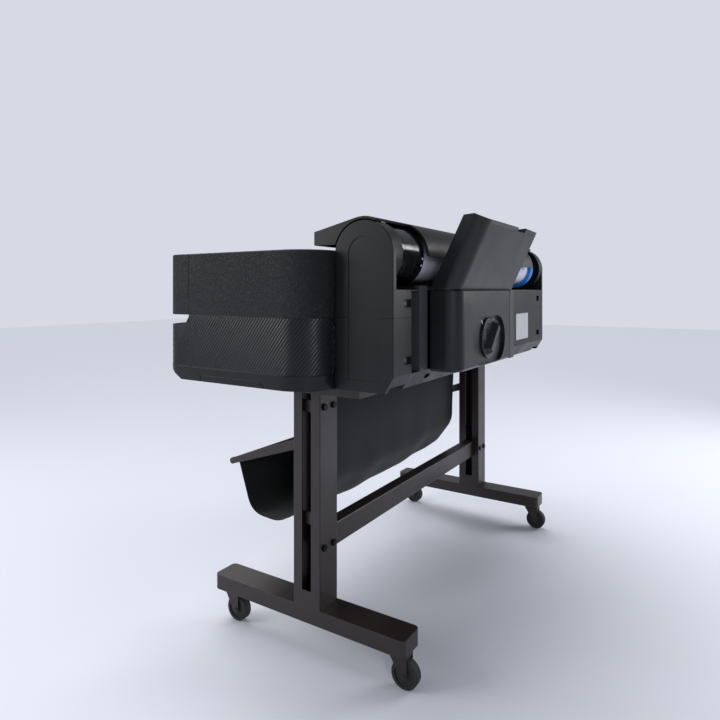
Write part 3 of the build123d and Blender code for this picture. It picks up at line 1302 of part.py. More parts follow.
def caster_fork(x, y):
    """Fork with its stem, trailing toward the rear."""
    top = CASTER_HEIGHT - CLEARANCE
    y_axle = y + WHEEL_TRAIL
    half = WHEEL_WIDTH / 2 + 1
    plate = block((x - half - FORK_WALL, x + half + FORK_WALL), (y - 18, y_axle + 10), (top - 14, top - 10))
    shape = plate + rod_z(x, y, 15, top - 10, top) + rod_z(x, y, STEM_R, top, top + 28)
    for side in (-1, 1):
        x0 = x + side * (half + FORK_WALL / 2)
        cheek = polygon((y - 18, top - 10), (y_axle + 10, top - 10), (y_axle + 9, WHEEL_R - 4),
                        (y_axle - 9, WHEEL_R - 4))
        shape += along_x(cheek, x0 - FORK_WALL / 2, x0 + FORK_WALL / 2)
        shape += rod_x(y_axle, WHEEL_R, 9, x0 - FORK_WALL / 2, x0 + FORK_WALL / 2)
    return shape + rod_x(y_axle, WHEEL_R, AXLE_R, x - half - FORK_WALL - 2, x + half + FORK_WALL + 2)


def caster_wheel(x, y):
    """Wheel with a rounded tread."""
    y_axle = y + WHEEL_TRAIL
    shape = rod_x(y_axle, WHEEL_R, WHEEL_R, x - WHEEL_WIDTH / 2, x + WHEEL_WIDTH / 2)
    shape = fillet(shape.edges().filter_by(GeomType.CIRCLE), 3)
    for side in (-1, 1):
        x0 = x + side * WHEEL_WIDTH / 2
        shape -= (rod_x(y_axle, WHEEL_R, WHEEL_R - 9, x0 - 3, x0 + 3)
                  - rod_x(y_axle, WHEEL_R, 11, x0 - 4, x0 + 4))
    return shape - rod_x(y_axle, WHEEL_R, AXLE_R + RUNNING_FIT, x - WHEEL_WIDTH, x + WHEEL_WIDTH)


def build():
    """Every node of the printer by name."""
    upper = upper_shell()
    cap = end_cap(upper)
    housing = end_housing()
    post = join([stand_post(), stand_head()])
    button_x, button_y = button_xy()
    cap_near = cap - panel_space(0, SHELL_WALL + 1) + button_seat()
    cap_near -= rod_z(button_x, button_y, BUTTON_R + CLEARANCE, level(FRONT_HEIGHT) - SHELL_WALL - 1,
                      level(FRONT_HEIGHT) + 1)
    nodes = {
        "base_pan": base_pan(),
        "lower_shell": lower_shell(),
        "end_cap_near": cap_near,
        "end_cap_far": far(cap) - ink_cover_space(0) + ink_hinge(),
        "top_deck": join([top_deck(upper), cover_hinge_pins()]),
        "front_cover": front_cover(upper),
        "cover_window": cover_window(),
        "end_housing_near": housing,
        "end_housing_far": far(housing),
        "rear_wall": rear_wall(),
        "rear_sill": rear_sill(),
        "rear_strip": rear_strip(),
        "rear_panel": rear_panel(),
        "label_plate": label_plate(),
        "power_inlet": power_inlet(),
        "feeder_box": feeder_box(),
        "feeder_end_post": feeder_end_post(),
        "lock_knob": lock_knob(),
        "paper_support": paper_support(),
        "support_extension": support_extension(),
        "roll_cover": roll_cover(),
        "spindle": spindle(),
        "roll_core": roll_core(),
        "roll_paper": roll_paper(),
        "hub_near": hub_near(),
        "flange_far": flange_far(),
        "side_frames": side_frames(),
        "platen": platen(),
        "paper_guide": paper_guide(),
        "carriage_rail": join([carriage_rail(), idler_pin()]),
        "carriage": carriage(),
        "drive_belt": drive_belt(),
        "motor_pulley": pulley(-PULLEY_X),
        "idler_pulley": pulley(PULLEY_X),
        "carriage_motor": carriage_motor(),
        "feed_roller": feed_roller(),
        "pinch_rollers": pinch_rollers(),
        "feed_motor": feed_motor(),
        "service_station": service_station(),
        "electronics_box": electronics_box(),
        "ink_holder": ink_holder(),
        "ink_cartridges": ink_cartridges(),
        "ink_cover": ink_cover(),
        "control_panel": control_panel(),
        "power_button": power_button(),
        "stand_post_near": post,
        "stand_post_far": far(post),
        "stand_feet": join([stand_foot(), far(stand_foot())]),
        "cross_beam": cross_beam(),
        "screws": join([housing_screws(), stand_bolts()]),
        "basket_frame": basket_frame(),
        "catch_basket": catch_basket(),
    }
    for index, (x, y) in enumerate(caster_places(), 1):
        nodes[f"caster_fork_{index}"] = caster_fork(x, y)
        nodes[f"caster_wheel_{index}"] = caster_wheel(x, y)
    return nodes


os.makedirs("parts", exist_ok=True)
for name, shape in build().items():
    export_step(shape, f"parts/{name}.step")
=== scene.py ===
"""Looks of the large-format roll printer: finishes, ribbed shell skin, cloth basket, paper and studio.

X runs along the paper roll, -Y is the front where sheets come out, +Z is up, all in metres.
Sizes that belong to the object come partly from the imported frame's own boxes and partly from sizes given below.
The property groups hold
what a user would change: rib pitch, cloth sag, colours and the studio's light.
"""
from math import cos, pi, radians, sin, tan

import bpy
import numpy as np
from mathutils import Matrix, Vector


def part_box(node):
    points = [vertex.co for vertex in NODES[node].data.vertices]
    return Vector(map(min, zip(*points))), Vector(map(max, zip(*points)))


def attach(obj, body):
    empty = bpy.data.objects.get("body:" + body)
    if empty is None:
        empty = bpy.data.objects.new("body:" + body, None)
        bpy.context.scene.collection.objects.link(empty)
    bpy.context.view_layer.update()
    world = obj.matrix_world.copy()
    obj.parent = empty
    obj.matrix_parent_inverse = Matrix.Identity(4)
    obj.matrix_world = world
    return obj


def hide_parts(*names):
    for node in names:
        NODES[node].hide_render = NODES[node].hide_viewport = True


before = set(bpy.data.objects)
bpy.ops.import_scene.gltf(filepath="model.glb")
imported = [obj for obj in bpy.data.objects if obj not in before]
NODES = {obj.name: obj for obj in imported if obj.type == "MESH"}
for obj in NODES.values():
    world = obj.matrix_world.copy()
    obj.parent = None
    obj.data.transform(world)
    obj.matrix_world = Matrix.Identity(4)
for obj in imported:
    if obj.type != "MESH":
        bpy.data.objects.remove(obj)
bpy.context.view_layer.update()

bl_info = {
    "name": "Roll printer looks",
    "version": (1, 0, 0),
    "blender": (4, 5, 0),
    "location": "View3D > Sidebar > Printer",
    "description": "Finishes, skins, cloth and studio for a large-format roll printer",
    "category": "Object",
}

MM = 0.001

# Places shared by several pieces, in metres: edges read from the frame's boxes, the rest given as sizes and offsets
SHELL_LOW, SHELL_HIGH = (np.array(c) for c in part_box("lower_shell"))
HOUSING_LOW, HOUSING_HIGH = (np.array(c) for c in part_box("end_housing_near"))
BODY_LEVEL = SHELL_LOW[2]
X_SIDE = SHELL_HIGH[0]
Y_FRONT, Y_REAR_EDGE = SHELL_LOW[1], SHELL_HIGH[1]
Y_REAR = HOUSING_HIGH[1]
ROLL_AXIS = (Y_REAR - 79 * MM, BODY_LEVEL + 316 * MM)
REAR_CORNER, FRONT_CORNER = 90 * MM, 42 * MM
CAMERA_PLACE = (HOUSING_HIGH[0] + 1.1232, Y_REAR + 0.6257, BODY_LEVEL + 0.233)
# Cloth's side view, ahead of the rear plane and below the body's underside; the ends are the rods
BASKET_CORNERS = np.array([(325, -36), (334, -300), (420, -415), (540, -410), (590, -262)]) * MM
SEAM = 169 * MM
SLOT_DEPTH, SLOT_REAR_HEIGHT, SLOT_DROP = 88 * MM, 18 * MM, 9 * MM
RIB_MARGIN = 1.4 * MM


# Settings

def hex_property(name, value, description):
    """Colour kept as an sRGB hex string."""
    return bpy.props.StringProperty(name=name, description=description, default=value)


def length_property(name, value, description):
    """Length in metres."""
    return bpy.props.FloatProperty(name=name, description=description, default=value, min=0.0,
                                   precision=5, subtype="DISTANCE", unit="LENGTH")


class ShellSettings(bpy.types.PropertyGroup):
    """Bodywork: rib sizes and plastic colours."""
    rib_pitch: length_property("Rib pitch", 9 * MM, "Distance from rib to rib along the shell")
    rib_depth: length_property("Rib depth", 0.88 * MM, "Height of a rib's crest above its valley")
    rib_slope: bpy.props.FloatProperty(name="Rib slope", description="Steepness of the ribs",
                                       default=radians(52), subtype="ANGLE")
    band_low: length_property("Band bottom", 36.5 * MM, "Lower end of the ribs above the underside")
    band_high: length_property("Band top", 167.5 * MM, "Upper end of the ribs above the underside")
    grain_cell: length_property("Grain cell", 3.2 * MM, "Width of one cell of the leather grain")
    grained: hex_property("Grained plastic", "#131417", "Upper half of the body")
    ribbed: hex_property("Ribbed plastic", "#121316", "Lower half of the body")
    housing: hex_property("Housing plastic", "#0E0F11", "End housings, covers and feeder")
    # Feeder colour: the housing's black made lighter, as painted light for the light falling on the feeder's rear
    # faces.
    feeder: hex_property("Feeder plastic", "#1B1C1E", "Sheet feeder and its tilted support")
    trim: hex_property("Trim plastic", "#3A3B3E", "Guide strip and pull-out plate")
    knob: hex_property("Knob plastic", "#1B1C1F", "Quarter-turn knob")
    gloss: hex_property("Gloss plastic", "#0B0C0E", "Hub, panel and carriage")
    label: hex_property("Bare plate", "#B9BBBF", "Plate on the rear panel")


class RollSettings(bpy.types.PropertyGroup):
    """Paper roll and what carries it."""
    # Paper colour: near-white paper darkened and tinted lavender, as painted shade for the roll lying under the
    # cover.
    paper: hex_property("Paper", "#CDCCE2", "Wound paper")
    core: hex_property("Core", "#A8875E", "Cardboard tube")
    flange: hex_property("Flange", "#1F7FD0", "Coloured disc at the far end of the roll")
    steel: hex_property("Steel", "#B9BBBD", "Spindle and feed roller")
    screw: hex_property("Screws", "#7C7E82", "Screws in the body")
    sheet_metal: hex_property("Sheet metal", "#9EA1A4", "Galvanised plates")
    # Coated colour: near-black as painted shade, for the rear wall and bay floor seen through the dark gaps between
    # parts.
    coated: hex_property("Coated sheet", "#0C0C0E", "Black-coated plates of the roll bay")
    rubber: hex_property("Rubber", "#1A1A1B", "Rollers, belt and tyres")


class StandSettings(bpy.types.PropertyGroup):
    """Stand and catch basket."""
    paint: hex_property("Stand paint", "#1B0F0D", "Powder coat of posts and feet")
    cloth: hex_property("Cloth", "#0D1014", "Catch basket")
    sag: length_property("Sag", 16 * MM, "How far the cloth's middle hangs below its ends")
    cloth_thickness: length_property("Cloth thickness", 1.4 * MM, "Thickness of the woven cloth")
    yarn: length_property("Yarn", 1.6 * MM, "Distance between two yarns, drawn coarse to show")


class StudioSettings(bpy.types.PropertyGroup):
    """Camera, floor and lamps."""
    lens: bpy.props.FloatProperty(name="Lens", description="Focal length on a 36 mm sensor", default=29.0,
                                  min=1.0, subtype="DISTANCE_CAMERA")
    shift: bpy.props.FloatProperty(name="Shift", description="Upward shift of the frame", default=-0.097)
    floor: hex_property("Floor", "#D7DAE4", "Plain floor")
    sun: bpy.props.FloatProperty(name="Sky light", description="Wide soft light from above",
                                 default=2.25, min=0.0)
    side_power: bpy.props.FloatProperty(name="Side power", description="Lamp that sheens the near end",
                                        default=42.0, min=0.0, subtype="POWER", unit="POWER")
    rear_power: bpy.props.FloatProperty(name="Rear power", description="Lamp that sheens the rear faces",
                                        default=40.0, min=0.0, subtype="POWER", unit="POWER")
    corner_power: bpy.props.FloatProperty(name="Corner power", description="Lamp that edges rounded corners",
                                          default=26.0, min=0.0, subtype="POWER", unit="POWER")


def settings(name):
    """One of the scene's settings groups."""
    return getattr(bpy.context.scene, "printer_" + name)


# Shared tools

def linear(text, alpha=1.0):
    """Linear RGBA of an sRGB hex colour."""
    values = [int(text[index:index + 2], 16) / 255 for index in (1, 3, 5)]
    return [v / 12.92 if v <= 0.04045 else ((v + 0.055) / 1.055) ** 2.4 for v in values] + [alpha]


def add_node(tree, kind, sockets=None, **options):
    """Add a shader node, set its options, and fill its sockets with values or links."""
    item = tree.nodes.new("ShaderNode" + kind)
    for key, value in options.items():
        setattr(item, key, value)
    for key, value in (sockets or {}).items():
        if isinstance(value, bpy.types.NodeSocket):
            tree.links.new(value, item.inputs[key])
        else:
            item.inputs[key].default_value = value
    return item


def new_material(name, colour, roughness, metallic=0.0, **shader_values):
    """Material with one Principled shader; returns it, its tree, the shader and object coordinates."""
    material = bpy.data.materials.new(name)
    material.use_nodes = True
    tree = material.node_tree
    tree.nodes.clear()
    sockets = {"Base Color": linear(colour), "Roughness": roughness, "Metallic": metallic}
    sockets.update(shader_values)
    shader = add_node(tree, "BsdfPrincipled", sockets)
    add_node(tree, "OutputMaterial", {"Surface": shader.outputs["BSDF"]})
    coords = add_node(tree, "TexCoord").outputs["Object"]
    return material, tree, shader, coords


def shader_and_coords(material):
    """Principled shader and object coordinates of a finished material."""
    nodes = material.node_tree.nodes
    shader = next(item for item in nodes if item.type == "BSDF_PRINCIPLED")
    return shader, next(item for item in nodes if item.type == "TEX_COORD").outputs["Object"]


def colour_drift(tree, shader, coords, colour, low, high, scale):
    """Slow change of tone: the colour times low to high, by noise of the given scale."""
    noise = add_node(tree, "TexNoise", {"Vector": coords, "Scale": scale, "Detail": 3.0}).outputs["Fac"]
    base = linear(colour)
    dark = [c * low for c in base[:3]] + [1.0]
    light = [min(c * high, 1.0) for c in base[:3]] + [1.0]
    mix = add_node(tree, "Mix", {"Factor": noise}, data_type="RGBA")
    mix.inputs[6].default_value, mix.inputs[7].default_value = dark, light
    tree.links.new(mix.outputs[2], shader.inputs["Base Color"])
    return mix


def ranged(tree, value, low, high, start=0.0, end=1.0):
    """Value mapped from start..end to low..high."""
    return add_node(tree, "MapRange", {"Value": value, "From Min": start, "From Max": end,
                                       "To Min": low, "To Max": high}).outputs["Result"]


def roughness_drift(tree, shader, coords, low, high, scale):
    """Roughness between low and high by noise, as handled plastic and metal have."""
    noise = add_node(tree, "TexNoise", {"Vector": coords, "Scale": scale, "Detail": 4.0}).outputs["Fac"]
    tree.links.new(ranged(tree, noise, low, high, 0.3, 0.7), shader.inputs["Roughness"])


def bump(tree, shader, height, strength, distance, edge=0.0008):
    """Bump from a height, over edges rounded by a moulded radius."""
    soft = add_node(tree, "Bevel", {"Radius": edge}, samples=6).outputs["Normal"]
    item = add_node(tree, "Bump", {"Strength": strength, "Distance": distance, "Height": height,
                                   "Normal": soft})
    tree.links.new(item.outputs["Normal"], shader.inputs["Normal"])


# Finishes

PLASTIC = {"Specular IOR Level": 0.3}


def grained_abs(name, colour, cell):
    """Moulded ABS with a leather grain: rounded cells parted by fine valleys, duller in the valleys."""
    material, tree, shader, coords = new_material(name, colour, 0.45, **PLASTIC)
    warp = add_node(tree, "TexNoise", {"Vector": coords, "Scale": 0.35 / cell, "Detail": 2.0}).outputs["Color"]
    moved = add_node(tree, "VectorMath", {0: warp, 1: (cell * 0.9,) * 3}, operation="MULTIPLY").outputs[0]
    place = add_node(tree, "VectorMath", {0: coords, 1: moved}, operation="ADD").outputs[0]
    cells = add_node(tree, "TexVoronoi", {"Vector": place, "Scale": 1.0 / cell},
                     feature="DISTANCE_TO_EDGE").outputs["Distance"]
    height = ranged(tree, cells, 0.0, 1.0, 0.02, 0.32)
    colour_drift(tree, shader, coords, colour, 0.88, 1.14, 9.0)
    tree.links.new(ranged(tree, height, 0.62, 0.34), shader.inputs["Roughness"])
    bump(tree, shader, height, 0.9, 0.9 * MM, 0.0012)
    return material


def textured_abs(name, colour, low=0.36, high=0.5, edge=0.001):
    """Moulded ABS with a fine spark-eroded texture, drawn at 1.6 mm so that it shows."""
    material, tree, shader, coords = new_material(name, colour, 0.42, **PLASTIC)
    grit = add_node(tree, "TexNoise", {"Vector": coords, "Scale": 1 / (1.6 * MM), "Detail": 2.0}).outputs["Fac"]
    colour_drift(tree, shader, coords, colour, 0.9, 1.12, 7.0)
    roughness_drift(tree, shader, coords, low, high, 14.0)
    bump(tree, shader, grit, 0.14, 0.12 * MM, edge)
    return material


def polished_plastic(name, colour, roughness=0.12, **values):
    """Gloss moulding: clear reflections with faint flow waves and hairline scuffs."""
    material, tree, shader, coords = new_material(name, colour, roughness, **values)
    wave = add_node(tree, "TexNoise", {"Vector": coords, "Scale": 26.0, "Detail": 1.0}).outputs["Fac"]
    colour_drift(tree, shader, coords, colour, 0.92, 1.1, 12.0)
    roughness_drift(tree, shader, coords, roughness * 0.8, roughness * 1.7, 60.0)
    bump(tree, shader, wave, 0.03, 0.2 * MM, 0.001)
    return material


def hub_gloss_with_painted_glints(name, colour):
    """Gloss black hub with two short white marks round its inner edge, painted highlights standing for glints on
    the gloss.
    """
    material = polished_plastic(name, colour, 0.13)
    tree = material.node_tree
    shader, coords = shader_and_coords(material)
    y0, z0 = ROLL_AXIS
    low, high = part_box("hub_near")
    split = add_node(tree, "SeparateXYZ", {"Vector": coords}).outputs
    dy = add_node(tree, "Math", {0: split["Y"], 1: y0}, operation="SUBTRACT").outputs[0]
    dz = add_node(tree, "Math", {0: split["Z"], 1: z0}, operation="SUBTRACT").outputs[0]
    angle = add_node(tree, "Math", {0: dz, 1: dy}, operation="ARCTAN2").outputs[0]
    # Painted highlights: two white marks at -5 and -18 degrees round the axis, near the hub's inner edge.
    painted_glint_mask = None
    for degrees in (-5.0, -18.0):
        near = add_node(tree, "Math", {0: angle, 1: radians(degrees), 2: 0.028}, operation="COMPARE").outputs[0]
        painted_glint_mask = near if painted_glint_mask is None else add_node(tree, "Math", {0: painted_glint_mask, 1: near}, operation="MAXIMUM").outputs[0]
    edge = low[0] + 40 * MM + 7 * MM
    along = add_node(tree, "Math", {0: split["X"], 1: edge, 2: 3.5 * MM}, operation="COMPARE").outputs[0]
    painted_glint_mask = add_node(tree, "Math", {0: painted_glint_mask, 1: along}, operation="MULTIPLY").outputs[0]
    mix = add_node(tree, "Mix", {"Factor": painted_glint_mask}, data_type="RGBA")
    old = shader.inputs["Base Color"].links[0].from_socket
    tree.links.new(old, mix.inputs[6])
    mix.inputs[7].default_value = linear("#D8DADC")
    tree.links.new(mix.outputs[2], shader.inputs["Base Color"])
    return material


def smoked_window(name):
    """Smoked polycarbonate, dark enough that the engine only shows as shapes."""
    material = polished_plastic(name, "#1A1C1F", 0.16)
    shader, _ = shader_and_coords(material)
    shader.inputs["Transmission Weight"].default_value = 0.45
    return material


def roll_paper_finish(name, colour):
    """Coated paper: matt, in a near-white darkened and tinted lavender as painted shade, with the faint steps of
    the winding on its ends.
    """
    material, tree, shader, coords = new_material(name, colour, 0.62, **{"Sheen Weight": 0.1})
    y0, z0 = ROLL_AXIS
    centred = add_node(tree, "Mapping", {"Vector": coords, "Location": (0.0, -y0, -z0)}).outputs[0]
    rings = add_node(tree, "TexWave", {"Vector": centred, "Scale": 1 / (2.2 * MM) / 20, "Distortion": 0.4},
                     wave_type="RINGS", rings_direction="X").outputs["Fac"]
    colour_drift(tree, shader, coords, colour, 0.93, 1.0, 5.0)
    bump(tree, shader, rings, 0.2, 0.15 * MM, 0.0004)
    return material


def cardboard(name, colour):
    """Spiral-wound greyboard tube with fibres along its length."""
    material, tree, shader, coords = new_material(name, colour, 0.85)
    long = add_node(tree, "Mapping", {"Vector": coords, "Scale": (40.0, 400.0, 400.0)}).outputs[0]
    fibre = add_node(tree, "TexNoise", {"Vector": long, "Scale": 1.0, "Detail": 5.0}).outputs["Fac"]
    mix = colour_drift(tree, shader, coords, colour, 0.78, 1.12, 30.0)
    tree.links.new(fibre, mix.inputs[0])
    bump(tree, shader, fibre, 0.3, 0.2 * MM)
    return material


def zinc_sheet(name, colour):
    """Galvanised steel: flat spangle of 8 mm crystals with slightly different gloss."""
    material, tree, shader, coords = new_material(name, colour, 0.38, 1.0)
    spangle = add_node(tree, "TexVoronoi", {"Vector": coords, "Scale": 1 / (8 * MM)}).outputs["Color"]
    split = add_node(tree, "SeparateXYZ", {"Vector": spangle}).outputs
    mix = colour_drift(tree, shader, coords, colour, 0.8, 1.08, 30.0)
    tree.links.new(split["X"], mix.inputs[0])
    tree.links.new(ranged(tree, split["Y"], 0.28, 0.46), shader.inputs["Roughness"])
    bump(tree, shader, split["Z"], 0.05, 0.05 * MM)
    return material


def ground_steel(name, colour):
    """Ground steel bar: fine scratches round the bar, stretched along X."""
    material, tree, shader, coords = new_material(name, colour, 0.26, 1.0)
    fine = add_node(tree, "Mapping", {"Vector": coords, "Scale": (900.0, 60.0, 60.0)}).outputs[0]
    scratch = add_node(tree, "TexNoise", {"Vector": fine, "Scale": 1.0, "Detail": 4.0}).outputs["Fac"]
    tree.links.new(ranged(tree, scratch, 0.2, 0.36, 0.3, 0.7), shader.inputs["Roughness"])
    bump(tree, shader, scratch, 0.08, 0.05 * MM)
    return material


def stand_bolts(name, colour):
    """Screws: bright zinc in the body, blackened steel below the body's underside."""
    material = ground_steel(name, colour)
    tree = material.node_tree
    shader, coords = shader_and_coords(material)
    height = add_node(tree, "SeparateXYZ", {"Vector": coords}).outputs["Z"]
    body = add_node(tree, "Math", {0: height, 1: float(BODY_LEVEL)}, operation="GREATER_THAN").outputs[0]
    mix = add_node(tree, "Mix", {"Factor": body}, data_type="RGBA")
    mix.inputs[6].default_value, mix.inputs[7].default_value = linear("#1A1A1C"), linear(colour)
    tree.links.new(mix.outputs[2], shader.inputs["Base Color"])
    return material


def powder_coat(name, colour):
    """Powder-coated steel: satin skin with a 2 mm orange-peel ripple."""
    material, tree, shader, coords = new_material(name, colour, 0.42, **{"Coat Weight": 0.15,
                                                                       "Coat Roughness": 0.3})
    peel = add_node(tree, "TexNoise", {"Vector": coords, "Scale": 1 / (2.4 * MM), "Detail": 1.0}).outputs["Fac"]
    colour_drift(tree, shader, coords, colour, 0.86, 1.16, 6.0)
    roughness_drift(tree, shader, coords, 0.36, 0.5, 9.0)
    bump(tree, shader, peel, 0.16, 0.25 * MM, 0.001)
    return material


def rubber(name, colour):
    """Moulded rubber: dull, dusty in places."""
    material, tree, shader, coords = new_material(name, colour, 0.72)
    grit = add_node(tree, "TexNoise", {"Vector": coords, "Scale": 500.0, "Detail": 3.0}).outputs["Fac"]
    colour_drift(tree, shader, coords, colour, 0.8, 1.7, 45.0)
    bump(tree, shader, grit, 0.2, 0.15 * MM)
    return material


def plain_label(name, colour):
    """Bare satin plate, slightly mottled, with nothing printed on it."""
    material, tree, shader, coords = new_material(name, colour, 0.4)
    grit = add_node(tree, "TexNoise", {"Vector": coords, "Scale": 300.0, "Detail": 2.0}).outputs["Fac"]
    colour_drift(tree, shader, coords, colour, 0.9, 1.08, 22.0)
    bump(tree, shader, grit, 0.08, 0.08 * MM)
    return material


def woven_cloth(name, colour, yarn):
    """Plain-weave polyester: crossing yarns from the piece's own metre-true UV map."""
    material, tree, shader, _ = new_material(name, colour, 0.86, **{"Sheen Weight": 0.08,
                                                                   "Sheen Roughness": 0.5})
    place = add_node(tree, "TexCoord").outputs["UV"]
    bands = []
    for axis in ("X", "Y"):
        wave = add_node(tree, "TexWave", {"Vector": place, "Scale": 1 / yarn / 20, "Distortion": 0.35,
                                          "Detail": 2.0, "Detail Scale": 2.0},
                        wave_type="BANDS", bands_direction=axis).outputs["Fac"]
        bands.append(wave)
    over = add_node(tree, "TexChecker", {"Vector": place, "Scale": 1 / yarn}).outputs["Fac"]
    pick = add_node(tree, "Mix", {"Factor": over}, data_type="FLOAT")
    tree.links.new(bands[0], pick.inputs[2])
    tree.links.new(bands[1], pick.inputs[3])
    weave = pick.outputs[0]
    base = linear(colour)
    mix = add_node(tree, "Mix", {"Factor": weave}, data_type="RGBA")
    mix.inputs[6].default_value = [c * 0.55 for c in base[:3]] + [1.0]
    mix.inputs[7].default_value = [c * 1.35 for c in base[:3]] + [1.0]
    tree.links.new(mix.outputs[2], shader.inputs["Base Color"])
    item = add_node(tree, "Bump", {"Strength": 0.5, "Distance": 0.4 * MM, "Height": weave})
    tree.links.new(item.outputs["Normal"], shader.inputs["Normal"])
    return material


# Surfaces

def grid_mesh(name, points, uv=None, material=None, smooth=True):
    """Object whose faces join a grid of points, rows by columns; uv gives its map in metres."""
    rows, columns, _ = points.shape
    index = np.arange(rows * columns).reshape(rows, columns)
    quads = np.stack([index[:-1, :-1], index[:-1, 1:], index[1:, 1:], index[1:, :-1]], axis=-1).reshape(-1, 4)
    mesh = bpy.data.meshes.new(name)
    mesh.vertices.add(rows * columns)
    mesh.vertices.foreach_set("co", points.reshape(-1).astype(np.float32))
    mesh.loops.add(quads.size)
    mesh.loops.foreach_set("vertex_index", quads.reshape(-1).astype(np.int32))
    mesh.polygons.add(len(quads))
    mesh.polygons.foreach_set("loop_start", np.arange(0, quads.size, 4, dtype=np.int32))
    mesh.polygons.foreach_set("use_smooth", np.full(len(quads), smooth))
    mesh.update(calc_edges=True)
    mesh.validate()
    if uv is not None:
        layer = mesh.uv_layers.new(name="cloth")
        layer.data.foreach_set("uv", uv.reshape(-1, 2)[quads.reshape(-1)].reshape(-1).astype(np.float32))
    if material:
        mesh.materials.append(material)
    piece = bpy.data.objects.new(name, mesh)
    bpy.context.scene.collection.objects.link(piece)
    return piece


def body_outline(distance):
    """Plan of the front body by distance along it from the near rear corner, toward the front.

    Seven runs in order: rear corner arc of 90 mm, side, front corner arc of 42 mm, front, and the
    same back on the far side. Returns x, y and the outward normal's x and y for each distance."""
    big, small = REAR_CORNER, FRONT_CORNER
    side = (Y_REAR_EDGE - big) - (Y_FRONT + small)
    front = 2 * (X_SIDE - small)
    runs = (("arc", X_SIDE - big, Y_REAR_EDGE - big, big, 90.0),
            ("line", X_SIDE, Y_REAR_EDGE - big, 0, -1, side, 1, 0),
            ("arc", X_SIDE - small, Y_FRONT + small, small, 0.0),
            ("line", X_SIDE - small, Y_FRONT, -1, 0, front, 0, -1),
            ("arc", -X_SIDE + small, Y_FRONT + small, small, -90.0),
            ("line", -X_SIDE, Y_FRONT + small, 0, 1, side, -1, 0),
            ("arc", -X_SIDE + big, Y_REAR_EDGE - big, big, -180.0))
    x, y, nx, ny = (np.zeros_like(distance) for _ in range(4))
    start = 0.0
    for run in runs:
        length = run[3] * pi / 2 if run[0] == "arc" else run[5]
        here = distance >= start - 1e-9
        t = np.clip(distance - start, 0.0, length)
        if run[0] == "arc":
            turn = np.radians(run[4]) - t / run[3]
            values = (run[1] + run[3] * np.cos(turn), run[2] + run[3] * np.sin(turn), np.cos(turn), np.sin(turn))
        else:
            values = (run[1] + run[3] * t, run[2] + run[4] * t, run[6] + 0 * t, run[7] + 0 * t)
        for target, value in zip((x, y, nx, ny), values):
            target[here] = value[here]
        start += length
    return x, y, nx, ny


def outline_length():
    """Whole length of the body outline."""
    corners = REAR_CORNER + FRONT_CORNER
    return pi * corners + 2 * (Y_REAR_EDGE - Y_FRONT - corners) + 2 * (X_SIDE - FRONT_CORNER)


# Pieces

class PieceOperator:
    """Shared base: register options for every piece of the printer."""
    bl_options = {"REGISTER", "UNDO"}


class PRINTER_OT_ribbed_skin(PieceOperator, bpy.types.Operator):
    """Diagonal ribs round the lower half of the body"""
    bl_idname = "printer.ribbed_skin"
    bl_label = "Ribbed skin"

    def execute(self, context):
        """Offset = depth times a rounded saw of the sheared distance; rows run up the ribs."""
        s = settings("shell")
        lean = 1 / tan(s.rib_slope)
        low, high = BODY_LEVEL + s.band_low, BODY_LEVEL + s.band_high
        total = outline_length()
        per_rib, rows = 6, 9
        count = int((total + lean * (high - low)) / s.rib_pitch) * per_rib
        sheared = np.linspace(0.0, total + lean * (high - low), count + 1)
        v = np.linspace(0.0, 1.0, rows)
        distance = np.clip(sheared[None, :] - lean * (high - low) * v[:, None], 0.0, total)
        x, y, nx, ny = body_outline(distance)
        y_slot = Y_FRONT + SLOT_DEPTH + RIB_MARGIN
        fall = SLOT_DROP * np.clip((y_slot - y) / SLOT_DEPTH, 0, 1)
        slot_top = BODY_LEVEL + SEAM - SLOT_REAR_HEIGHT - RIB_MARGIN - fall
        top = np.where(y < y_slot, slot_top, high)
        z = np.minimum(low + (high - low) * v[:, None], top)
        phase = (sheared / s.rib_pitch) % 1.0
        crest = np.clip(1.25 * np.sin(pi * phase) - 0.12, 0.0, 1.0)
        offset = s.rib_depth * (crest[None, :] - 1.0) - 0.01 * MM
        points = np.stack([x + nx * offset, y + ny * offset, z], axis=-1)
        piece = grid_mesh("ribbed_skin", points[::-1], material=bpy.data.materials["ribbed ABS"])
        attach(piece, "frame")
        return {"FINISHED"}


